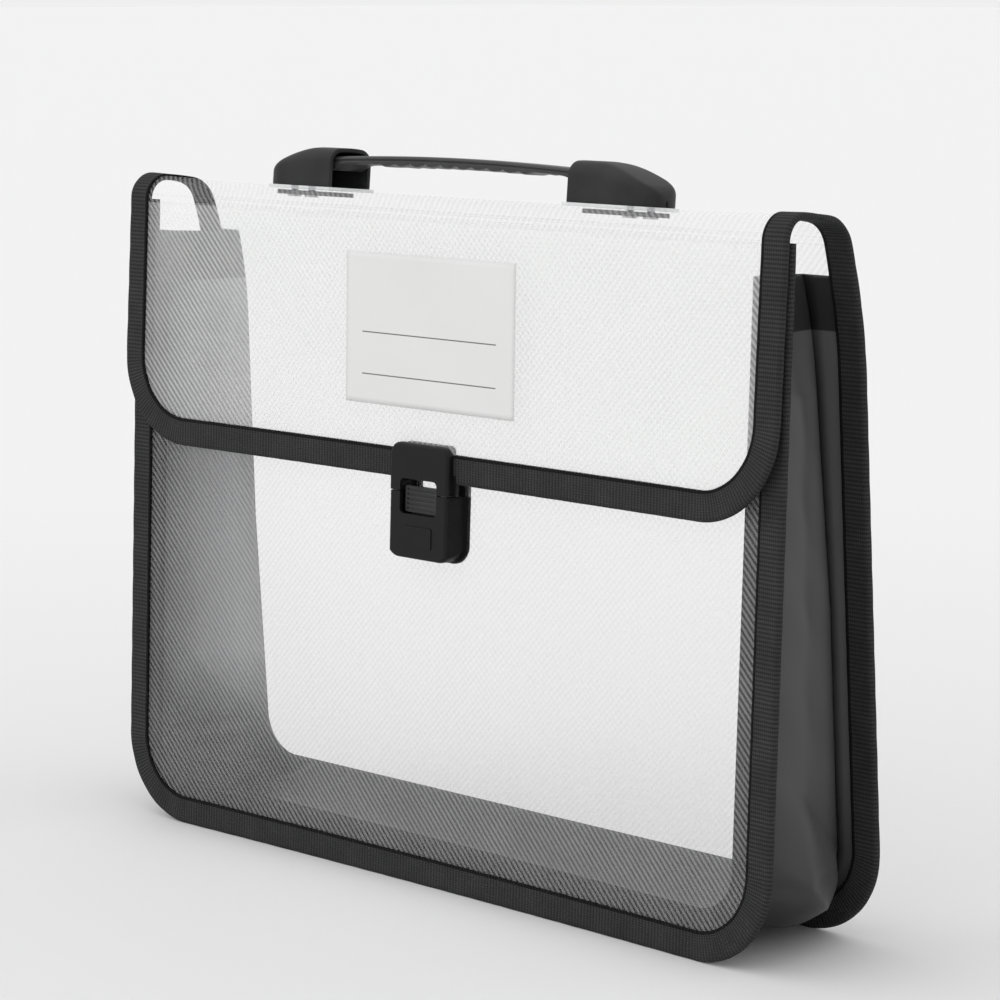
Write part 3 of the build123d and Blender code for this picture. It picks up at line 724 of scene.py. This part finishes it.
def ribbed_sheet_material(name, groove, rib):
    """Clear plastic sheet with fine slanted ribs that lighten what lies behind them."""
    material, nodes, links, shader = start_sheet_material(name, (0.78, 0.78, 0.78), 0.36)
    uv = uv_source(nodes)
    ribs = wave_of(nodes, links, uv, "DIAGONAL", DIAGONAL_WAVE / SHEET_RIB, 0.3, detail_scale=2)
    stripes = ramp_of(nodes, links, ribs, groove, rib)
    cloud = ramp_of(nodes, links, noise_of(nodes, links, uv, 30), 0.75, 1.3)
    links.new(product(nodes, links, stripes, cloud), shader.inputs["Alpha"])
    shader.inputs["IOR"].default_value = 1.45
    return material


def smooth_sheet_material():
    """The clear sheet's smooth inner face, with faint scuffs."""
    material, nodes, links, shader = start_sheet_material("smooth clear sheet", (0.78, 0.78, 0.785), 0.25)
    scuffs = noise_of(nodes, links, uv_source(nodes), 55)
    links.new(ramp_of(nodes, links, scuffs, 0.015, 0.045), shader.inputs["Alpha"])
    links.new(ramp_of(nodes, links, scuffs, 0.2, 0.34), shader.inputs["Roughness"])
    return material


def woven_tape_material():
    """Black ribbed tape: ribs across its width and fine threads along it, with painted shade in their
    grooves, and painted shadow lines along its inner edges.
    """
    material, nodes, links, shader = start_material("ribbed black tape", (0.02, 0.02, 0.021), 0.8)
    uv = uv_source(nodes)
    ribs = wave_of(nodes, links, uv, "X", STRAIGHT_WAVE / TAPE_RIB, 0.5)
    threads = wave_of(nodes, links, uv, "Y", STRAIGHT_WAVE / TAPE_THREAD, 0.6)
    fuzz = noise_of(nodes, links, uv, 2400, detail=2)
    woven = added(nodes, links, threads, 0.5, ribs)
    height = added(nodes, links, woven, 1.0, product(nodes, links, fuzz, 0.5))
    width = split_of(nodes, links, uv)["Y"]
    # Dark bands along both inner edges of the tape: painted shadow lines where the tape meets the sheet
    first_edge = near(nodes, links, width, EDGE_SHADOW_MIDDLE, EDGE_SHADOW_REACH)
    last_edge = near(nodes, links, width, TAPE_FLAT_WIDTH - EDGE_SHADOW_MIDDLE, EDGE_SHADOW_REACH)
    wear = ramp_of(nodes, links, noise_of(nodes, links, uv, 90), 0.5, 1.5)
    # Rib and thread tops are painted lighter and the grooves between them darker (painted shade), by a random
    # amount of wear
    rib_light_and_wear = product(nodes, links, product(nodes, links, height, 0.5), wear)
    shade = mix_colors(nodes, links, rib_light_and_wear, (0.006, 0.006, 0.0065), (0.052, 0.052, 0.054))
    edge_shadows = added(nodes, links, last_edge, 1.0, first_edge)
    edged = mix_colors(nodes, links, edge_shadows, shade, (0.002, 0.002, 0.002))
    links.new(edged, shader.inputs["Base Color"])
    bump_of(nodes, links, shader, height, 0.85, 0.3 * MM)
    shader.inputs["Specular IOR Level"].default_value = 0.22
    return material


def film_material(name, front, back, change_start, foot, above_foot):
    """Dark gusset film with a dull sheen and a faint grain, darker in a band along its top edge.

    From a distance across the film on, its colour is painted over to the back one: painted light and shade
    across the film.
    It is painted with shade by one factor at the case's foot and by another above it, where a factor above 1
    paints light instead."""
    middle = tuple((first + second) / 2 for first, second in zip(front, back))
    material, nodes, links, shader = start_material(name, middle, 0.45)
    uv = uv_source(nodes)
    bump_of(nodes, links, shader, noise_of(nodes, links, uv, 900, detail=2), 0.3, 0.1 * MM)
    clouds = noise_of(nodes, links, uv, 25)
    # Painted light and shade across the film: from change_start on, the colour goes over to the back one
    across = ramp_of(
        nodes, links, split_of(nodes, links, uv)["X"], 0, 1, change_start, GUSSET_INSET + GUSSET_DEPTH)
    mottle_and_painted_light = added(nodes, links, ramp_of(nodes, links, clouds, -0.15, 0.15), 1.0, across)
    height = split_of(nodes, links, object_source(nodes))["Z"]
    hem = near(nodes, links, height, GUSSET_TOP, GUSSET_HEM)
    shade = mix_colors(nodes, links, hem, mix_colors(nodes, links, mottle_and_painted_light, front, back), tinted(middle, 0.3))
    # Painted shade near the case's foot; above it, painted shade for a factor below 1 and painted light for a
    # factor above 1
    for (start, end), factor in ((FOOT_SHADE, foot), (SIDE_SHADE, above_foot)):
        shaded = nodes.new("ShaderNodeVectorMath")
        shaded.operation = "SCALE"
        links.new(shade, shaded.inputs["Vector"])
        links.new(ramp_of(nodes, links, height, factor, 1, start, end), shaded.inputs["Scale"])
        shade = shaded.outputs["Vector"]
    links.new(shade, shader.inputs["Base Color"])
    links.new(ramp_of(nodes, links, clouds, 0.38, 0.55), shader.inputs["Roughness"])
    shader.inputs["Specular IOR Level"].default_value = 0.3
    return material


def moulded_material(name, dark, light, roughness, specular):
    """Fine-grained moulded plastic, a little uneven in shade and gloss."""
    material, nodes, links, shader = start_material(name, light, roughness)
    here = object_source(nodes)
    grain = noise_of(nodes, links, here, 2600, detail=2)
    bump_of(nodes, links, shader, grain, 0.3, 0.06 * MM)
    shader.inputs["Specular IOR Level"].default_value = specular
    clouds = noise_of(nodes, links, here, 70)
    links.new(mix_colors(nodes, links, clouds, dark, light), shader.inputs["Base Color"])
    links.new(ramp_of(nodes, links, clouds, roughness - 0.07, roughness + 0.07), shader.inputs["Roughness"])
    return material


def clear_material():
    """Clear moulded plastic with faint flow marks."""
    material, nodes, links, shader = start_material("clear moulded plastic", (0.85, 0.87, 0.88), 0.2)
    marks = noise_of(nodes, links, object_source(nodes), 120)
    links.new(ramp_of(nodes, links, marks, 0.35, 0.55), shader.inputs["Alpha"])
    bump_of(nodes, links, shader, marks, 0.2, 0.05 * MM)
    return material


def steel_material():
    """Plated steel with fine turning marks."""
    material, nodes, links, shader = start_material("plated steel", (0.6, 0.6, 0.62), 0.35)
    shader.inputs["Metallic"].default_value = 1.0
    marks = noise_of(nodes, links, object_source(nodes), 1500)
    links.new(ramp_of(nodes, links, marks, 0.25, 0.45), shader.inputs["Roughness"])
    bump_of(nodes, links, shader, marks, 0.15, 0.02 * MM)
    return material


def label_material():
    """Pale matt card with two thin writing lines, placed from the label's lower left corner."""
    material, nodes, links, shader = start_material("label card", (0.8, 0.8, 0.79), 0.6)
    uv = uv_source(nodes)
    place = split_of(nodes, links, uv)
    low_line, high_line = (near(nodes, links, place["Y"], line, LABEL_LINE) for line in LABEL_LINES)
    lines = added(nodes, links, low_line, 1.0, high_line)
    low, high = LABEL_LINE_ENDS
    inked = product(nodes, links, lines, near(nodes, links, place["X"], (low + high) / 2, (high - low) / 2))
    bump_of(nodes, links, shader, noise_of(nodes, links, uv, 900), 0.12, 0.03 * MM)
    clouds = noise_of(nodes, links, uv, 30)
    card = mix_colors(nodes, links, clouds, (0.74, 0.74, 0.735), (0.8, 0.8, 0.795))
    links.new(mix_colors(nodes, links, inked, card, (0.16, 0.16, 0.16)), shader.inputs["Base Color"])
    return material


materials = {}


def finish_piece(piece, slot, *nodes):
    """Gives a piece the material of a record's slot, with the inner face's material for a clear sheet, and
    hides the CAD nodes that it stands for.
    """
    piece.data.materials.clear()
    piece.data.materials.append(materials[slot])
    if slot == "clear_sheet":
        piece.data.materials.append(materials["clear_inner"])
    if nodes:
        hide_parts(*nodes)


class FileCaseColors(bpy.types.PropertyGroup):
    """Colours that a user would change."""

    film: bpy.props.FloatVectorProperty(
        name="Film", description="Colour of the gusset film", subtype="COLOR", size=3,
        default=(0.084, 0.084, 0.086))
    plastic: bpy.props.FloatVectorProperty(
        name="Fittings", description="Colour of the latch and the handle", subtype="COLOR", size=3,
        default=(0.01, 0.01, 0.0104))


class FileCaseSizes(bpy.types.PropertyGroup):
    """Sizes that a user would change."""

    sheet_step: bpy.props.FloatProperty(
        name="Sheet step", description="Size of the faces that the sheets are bent from", unit="LENGTH",
        default=3.0 * MM)
    tape_step: bpy.props.FloatProperty(
        name="Tape step", description="Length of the faces that the tapes are bent from", unit="LENGTH",
        default=1.6 * MM)


class FileCaseLight(bpy.types.PropertyGroup):
    """Light and background of the stage."""

    sky: bpy.props.FloatProperty(
        name="Sky", description="Brightness of the light from all round", default=0.88)
    backdrop: bpy.props.FloatProperty(
        name="Backdrop", description="Brightness of the background", default=0.87)
    sun: bpy.props.FloatProperty(
        name="Main light", description="Strength of the soft main light", default=0.62)
    softness: bpy.props.FloatProperty(
        name="Softness", description="Angle that the main light fills", subtype="ANGLE", default=radians(70))
    # The floor is painted darker by the case than far away: painted shade
    floor_near: bpy.props.FloatProperty(
        name="Floor", description="Shade of the floor by the case", default=0.8)
    floor_far: bpy.props.FloatProperty(
        name="Far floor", description="Shade of the floor far away", default=0.87)


class FILECASE_OT_materials(bpy.types.Operator):
    """Make the finishes and give them to the nodes that keep their CAD shape"""

    bl_idname = "filecase.materials"
    bl_label = "Finishes"

    def execute(self, context):
        colors = context.scene.file_case_colors
        film, plastic = tuple(colors.film), tuple(colors.plastic)
        deep, soft = tinted(plastic, 0.6), tinted(plastic, 4.5)
        materials["clear_sheet"] = ribbed_sheet_material("ribbed clear sheet", groove=0.03, rib=0.2)
        materials["clear_flap"] = ribbed_sheet_material("ribbed clear flap", groove=0.17, rib=0.39)
        materials["clear_inner"] = smooth_sheet_material()
        materials["binding_tape"] = woven_tape_material()
        # The outer film's back part is painted lighter (painted light) and its foot painted darker (painted
        # shade)
        materials["gusset_film"] = film_material(
            "dark gusset film", tinted(film, 0.92), tinted(film, 1.6),
            change_start=GUSSET_INSET + 0.6 * GUSSET_DEPTH, foot=0.5, above_foot=0.88)
        # Inside, the film is painted near black at the front and far lighter at the back: painted light and
        # shade for the light inside the case and the sheet's veil; painted shade at the foot and painted
        # light above it
        materials["film_inside"] = film_material(
            "gusset film inside", tinted(film, 0.05), tinted(film, 3.7),
            change_start=0.4 * GUSSET_INSET, foot=0.1, above_foot=1.25)
        for slot, name, dark, light, roughness, specular in (
            ("fitting_plastic", "black fitting plastic", deep, plastic, 0.4, 0.16),
            ("button_plastic", "black button plastic", plastic, soft, 0.4, 0.26),
            ("handle_plastic", "black handle plastic", plastic, soft, 0.5, 0.16),
            ("grip_plastic", "black grip plastic", plastic, soft, 0.42, 0.4),
            ("inner_plastic", "dark inner plastic", (0.04, 0.04, 0.042), (0.08, 0.08, 0.083), 0.5, 0.3),
            ("plate_plastic", "grey plate plastic", (0.12, 0.12, 0.124), (0.2, 0.2, 0.205), 0.5, 0.3),
        ):
            materials[slot] = moulded_material(name, dark, light, roughness, specular)
        materials["clear_plastic"] = clear_material()
        materials["screw_steel"] = steel_material()
        materials["label_card"] = label_material()
        for entry in frame["record"]["subparts"]:
            node = frame["nodes"][entry["node"]]
            node.data.materials.clear()
            node.data.materials.append(materials[entry["material_slot"]])
        frame["nodes"]["latch_button"].data.materials[0] = materials["button_plastic"]
        return {"FINISHED"}


class FILECASE_OT_sheets(bpy.types.Operator):
    """Cut the clear sheets flat, bend them and join them at the two creases"""

    bl_idname = "filecase.sheets"
    bl_label = "Clear sheets"

    def execute(self, context):
        step = context.scene.file_case_sizes.sheet_step
        half = CASE_WIDTH / 2 - EDGE_COVER
        corner = CORNER_RADIUS - EDGE_COVER
        back = bent_sheet("clear_back_sheet", "back", wrap_point, EDGE_COVER, BACK_CREASE - CREASE_STRIP,
                          corner, 0, TAPE, half, step, uv_way=-1)
        finish_piece(back, "clear_sheet", "back_sheet")
        top = bent_sheet("clear_top_sheet", "top", wrap_point, BACK_CREASE + CREASE_STRIP,
                         FRONT_CREASE - CREASE_STRIP, 0, 0, TAPE, half, TOP_STEP, uv_way=-1)
        finish_piece(top, "clear_sheet", "top_sheet")
        flap = bent_sheet("clear_flap_sheet", "flap", wrap_point, FRONT_CREASE + CREASE_STRIP,
                          WRAP.length - EDGE_COVER, 0, FLAP_CORNER_RADIUS - EDGE_COVER, TAPE, half, step,
                          uv_way=-1)
        finish_piece(flap, "clear_sheet", "flap_sheet")
        flap.data.materials[0] = materials["clear_flap"]
        front = bent_sheet("clear_front_sheet", "front", front_point, EDGE_COVER, FRONT_HEIGHT - FRONT_TRIM,
                           corner, 0, TAPE, half, step)
        finish_piece(front, "clear_sheet", "front_sheet")
        for name, crease, joint in (
            ("back_crease_strip", BACK_CREASE, "top_lift"), ("front_crease_strip", FRONT_CREASE, "flap_lift"),
        ):
            strip = bent_sheet(name, None, wrap_point, crease - CREASE_STRIP, crease + CREASE_STRIP, 0, 0,
                               TAPE + SHEET / 4, half, STRIP_STEP, uv_way=-1, thickness=SHEET / 2,
                               columns=STRIP_COLUMNS)
            below = wrap_point(0, crease - CREASE_STRIP, TAPE)
            above = wrap_point(0, crease + CREASE_STRIP, TAPE)
            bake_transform(strip)
            finish_piece(strip, "clear_sheet")
        return {"FINISHED"}


class FILECASE_OT_tapes(bpy.types.Operator):
    """Fold the binding tapes round the sheets' edges"""

    bl_idname = "filecase.tapes"
    bl_label = "Binding tapes"

    def execute(self, context):
        step = context.scene.file_case_sizes.tape_step
        half = CASE_WIDTH / 2
        front = folded_tape("front_tape", front_point,
                            outline_course(0, FRONT_HEIGHT, CORNER_RADIUS, half, 0, step),
                            lambda run: PANEL_THICKNESS)
        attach(front, "front")
        finish_piece(front, "binding_tape", "front_binding")

        def thinning(run):
            """The back tape's thickness. Up to the gusset's top it holds the film as well as the sheet."""
            loss = PANEL_THICKNESS - FLAP_THICKNESS
            return PANEL_THICKNESS - loss * part_way(run, GUSSET_TOP, BACK_CREASE)

        back = folded_tape("back_tape", wrap_point,
                           outline_course(0, CROWN_MIDDLE, CORNER_RADIUS, half, 0, step), thinning)
        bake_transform(back)
        finish_piece(back, "binding_tape", "back_binding", "top_binding_left", "top_binding_right")
        course = outline_course(CROWN_MIDDLE, WRAP.length, FLAP_CORNER_RADIUS, half, WRAP.length, step)
        flap = folded_tape("flap_tape", wrap_point, course, lambda run: FLAP_THICKNESS)
        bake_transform(flap)
        finish_piece(flap, "binding_tape", "flap_binding")
        return {"FINISHED"}


class FILECASE_OT_gusset(bpy.types.Operator):
    """Fold the gusset film between the two panels"""

    bl_idname = "filecase.gusset"
    bl_label = "Gusset"

    def execute(self, context):
        path = outline_course(0, GUSSET_TOP, CORNER_RADIUS, CASE_WIDTH / 2, 0, FILM_STEP)
        columns = len(path) - 1
        run = distances(path)
        rows = 2 * FLANGE_ROWS + WALL_ROWS
        flange = GUSSET_INSET - GUSSET_EDGE_INSET
        for name, body, first_row, last_row, width, outwards in (
            ("gusset_front_flange", "front", 0, FLANGE_ROWS, flange, (0, 1, 0)),
            ("gusset_film", "back", FLANGE_ROWS, FLANGE_ROWS + WALL_ROWS, FILM_WALL_CUT, (0, 0, -1)),
            ("gusset_back_flange", "back", FLANGE_ROWS + WALL_ROWS, rows, flange, (0, -1, 0)),
        ):
            shape, flat = flat_grid(columns, last_row - first_row)
            lay_flat(shape, flat, lambda x, y: (
                (first_row + y * (last_row - first_row)) / rows * FILM_WIDTH, run[round(x * columns)]))
            for vert in shape.verts:
                column = round(vert.co.x * columns)
                row = first_row + round(vert.co.y * (last_row - first_row))
                vert.co = gusset_point(path[column], run[column] / run[-1], row, first_row)
            turn_outwards(shape, Vector(outwards))
            film = new_piece(name, shape, body)
            give_wall(film, FILM, two_sided=True)
            finish_piece(film, "gusset_film", "gusset")
            film.data.materials.append(materials["film_inside"])
            if name == "gusset_film":
                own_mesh(film)
        return {"FINISHED"}


class FILECASE_OT_spring(bpy.types.Operator):
    """Wind the coil spring that pushes the button up"""

    bl_idname = "filecase.spring"
    bl_label = "Button spring"

    def execute(self, context):
        low, high = (Vector(corner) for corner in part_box("button_spring"))
        turn = Matrix.Rotation(-atan(FRONT_LEAN), 4, "X")
        shape = bmesh.new()
        wire = Matrix.Translation((SPRING_RADIUS, 0, 0)) @ Matrix.Rotation(pi / 2, 4, "X")
        ring = bmesh.ops.create_circle(shape, segments=10, radius=SPRING_WIRE / 2, matrix=wire)
        geometry = ring["verts"] + shape.edges[:]
        open_rise = SPRING_LENGTH - SPRING_WIRE - 2 * SPRING_CLOSED_PITCH
        for turns, rise in ((1, SPRING_CLOSED_PITCH), (SPRING_TURNS, open_rise), (1, SPRING_CLOSED_PITCH)):
            steps = turns * SPRING_STEPS
            coil = bmesh.ops.spin(shape, geom=geometry, cent=(0, 0, 0), axis=(0, 0, 1),
                                  dvec=(0, 0, rise / steps), angle=2 * pi * turns, steps=steps)
            geometry = coil["geom_last"]
        bmesh.ops.holes_fill(shape, edges=shape.edges)
        bmesh.ops.recalc_face_normals(shape, faces=shape.faces)
        bmesh.ops.translate(shape, verts=shape.verts, vec=(0, 0, (SPRING_WIRE - SPRING_LENGTH) / 2))
        bmesh.ops.transform(shape, verts=shape.verts, matrix=Matrix.Translation((low + high) / 2) @ turn)
        spring = new_piece("coil_spring", shape, "front")
        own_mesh(spring)
        finish_piece(spring, "screw_steel", "button_spring")
        return {"FINISHED"}


class FILECASE_OT_handle(bpy.types.Operator):
    """Mould the two hollow end caps and the strap grip between them"""

    bl_idname = "filecase.handle"
    bl_label = "Handle"

    def execute(self, context):
        for side, end in ((-1, "left"), (1, "right")):
            columns = len(cap_section(0)) - 1
            shape, _ = flat_grid(columns, CAP_STATIONS)
            for vert in shape.verts:
                along = CAP_LENGTH * (1 - (1 - vert.co.y) ** CAP_STATION_SPREAD)
                aside, up = cap_section(along)[round(vert.co.x * columns)]
                vert.co = handle_point(side * (CAP_INNER + along), aside, up)
            turn_outwards(shape, Vector((0, 0, 1)))
            cap = new_piece(f"cap_{end}", shape, "top")
            give_wall(cap, CAP_WALL, offset=-1)
            round_edges(cap, 0.5 * MM, segments=3, angle=50)
            finish_piece(cap, "fitting_plastic", f"handle_cap_{end}")
            cap.data.materials[0] = materials["handle_plastic"]
            base = moved_handle_part(f"cap_base_{end}", f"handle_base_{end}", "top", BASE_CUT)
            finish_piece(base, "clear_plastic", f"handle_base_{end}")
            plate = moved_handle_part(f"cap_plate_{end}", f"handle_back_plate_{end}", "top")
            finish_piece(plate, "inner_plastic", f"handle_back_plate_{end}")
            plate.data.materials[0] = materials["plate_plastic"]
        screws = moved_handle_part("cap_screws", "handle_screws", "top")
        finish_piece(screws, "screw_steel", "handle_screws")

        columns = len(grip_section(0))
        shape, _ = flat_grid(columns, GRIP_STATIONS)
        for vert in shape.verts:
            along = GRIP_REACH * (2 * vert.co.y - 1)
            aside, up = grip_section(along)[round(vert.co.x * columns) % columns]
            vert.co = handle_point(along, aside, up)
        bmesh.ops.remove_doubles(shape, verts=shape.verts, dist=0.01 * MM)
        bmesh.ops.holes_fill(shape, edges=shape.edges)
        bmesh.ops.recalc_face_normals(shape, faces=shape.faces)
        grip = new_piece("strap_grip", shape, "grip")
        round_edges(grip, 0.4 * MM, segments=2, angle=60)
        finish_piece(grip, "grip_plastic", "handle_grip")
        return {"FINISHED"}


class FILECASE_OT_label(bpy.types.Operator):
    """Lay the blank label on the flap"""

    bl_idname = "filecase.label"
    bl_label = "Label"

    def execute(self, context):
        low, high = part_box("label")
        width = high[0] - low[0]
        centre = (low[0] + high[0]) / 2
        foot = FRONT_CREASE + FLAP_LENGTH - LABEL_MIDDLE + LABEL_LENGTH / 2
        shape, flat = flat_grid(LABEL_COLUMNS, LABEL_ROWS)
        lay_flat(shape, flat, lambda x, y: (x * width, y * LABEL_LENGTH))
        for vert in shape.verts:
            across = centre + (vert.co.x - 0.5) * width
            vert.co = wrap_point(across, foot - vert.co.y * LABEL_LENGTH, TAPE - LABEL_OUT)
        bmesh.ops.recalc_face_normals(shape, faces=shape.faces)
        card = new_piece("label_card", shape, "flap")
        give_wall(card, LABEL_CARD)
        finish_piece(card, "label_card", "label")
        return {"FINISHED"}


class FILECASE_OT_stage(bpy.types.Operator):
    """Make the pale floor, the soft lights and the camera"""

    bl_idname = "filecase.stage"
    bl_label = "Stage"

    def execute(self, context):
        light = context.scene.file_case_light
        shape = bmesh.new()
        bmesh.ops.create_grid(shape, x_segments=1, y_segments=1, size=FLOOR_REACH)
        floor = new_piece("floor", shape, smooth=False)
        material, nodes, links, shader = start_material("pale floor", (0.85, 0.85, 0.85), 0.7)
        here = object_source(nodes)
        # The floor is painted darker near the case (painted shade) and fades to the far floor's shade, with a
        # faint random mottle
        distance = nodes.new("ShaderNodeVectorMath")
        distance.operation = "LENGTH"
        links.new(here, distance.inputs[0])
        fade = ramp_of(nodes, links, distance.outputs["Value"], 0, 1, *FLOOR_FADE, "SMOOTHSTEP")
        painted_shade_and_mottle = added(nodes, links, noise_of(nodes, links, here, 3), 0.02, fade)
        shade = mix_colors(nodes, links, painted_shade_and_mottle, (light.floor_near,) * 3, (light.floor_far,) * 3)
        links.new(shade, shader.inputs["Base Color"])
        shader.inputs["Specular IOR Level"].default_value = 0.1
        floor.data.materials.append(material)

        world = bpy.data.worlds.new("studio")
        world.use_nodes = True
        nodes, links = world.node_tree.nodes, world.node_tree.links
        seen = nodes["Background"]
        seen.inputs["Color"].default_value = (light.backdrop,) * 3 + (1,)
        lighting = nodes.new("ShaderNodeBackground")
        lighting.inputs["Color"].default_value = (light.sky,) * 3 + (1,)
        rays = nodes.new("ShaderNodeLightPath")
        either = nodes.new("ShaderNodeMixShader")
        links.new(rays.outputs["Is Camera Ray"], either.inputs["Fac"])
        links.new(lighting.outputs["Background"], either.inputs[1])
        links.new(seen.outputs["Background"], either.inputs[2])
        links.new(either.outputs["Shader"], nodes["World Output"].inputs["Surface"])
        context.scene.world = world
        context.scene.view_settings.view_transform = "Standard"

        sun = bpy.data.lights.new("studio_light", "SUN")
        sun.energy = light.sun
        sun.angle = light.softness
        lamp = bpy.data.objects.new("studio_light", sun)
        lamp.rotation_euler = Vector(SUN_WAY).to_track_quat("-Z", "Y").to_euler()
        context.collection.objects.link(lamp)

        camera = bpy.data.cameras.new("camera")
        camera.lens = CAMERA_LENS
        camera.sensor_width = 36
        view = bpy.data.objects.new("camera", camera)
        view.location = CAMERA_EYE
        view.rotation_euler = Vector(CAMERA_WAY).to_track_quat("-Z", "Y").to_euler()
        context.collection.objects.link(view)
        context.scene.camera = view
        return {"FINISHED"}


class FILECASE_PT_panel(bpy.types.Panel):
    """The pieces of the file, in the order that they are made"""

    bl_label = "Expanding File"
    bl_idname = "FILECASE_PT_panel"
    bl_space_type = "VIEW_3D"
    bl_region_type = "UI"
    bl_category = "File Case"

    def draw(self, context):
        scene = context.scene
        for group in (scene.file_case_sizes, scene.file_case_colors, scene.file_case_light):
            for name in group.__annotations__:
                self.layout.prop(group, name)
        for step in STEPS:
            self.layout.operator(step.bl_idname)


STEPS = (
    FILECASE_OT_materials, FILECASE_OT_sheets, FILECASE_OT_tapes, FILECASE_OT_gusset, FILECASE_OT_spring,
    FILECASE_OT_handle, FILECASE_OT_label, FILECASE_OT_stage,
)
CLASSES = (FileCaseColors, FileCaseSizes, FileCaseLight, FILECASE_PT_panel) + STEPS


def register():
    for item in CLASSES:
        bpy.utils.register_class(item)
    bpy.types.Scene.file_case_colors = bpy.props.PointerProperty(type=FileCaseColors)
    bpy.types.Scene.file_case_sizes = bpy.props.PointerProperty(type=FileCaseSizes)
    bpy.types.Scene.file_case_light = bpy.props.PointerProperty(type=FileCaseLight)


def unregister():
    del bpy.types.Scene.file_case_light
    del bpy.types.Scene.file_case_colors
    del bpy.types.Scene.file_case_sizes
    for item in reversed(CLASSES):
        bpy.utils.unregister_class(item)


def main():
    register()
    for step in STEPS:
        group, operator = step.bl_idname.split(".")
        getattr(getattr(bpy.ops, group), operator)()


if __name__ == "__main__":
    main()
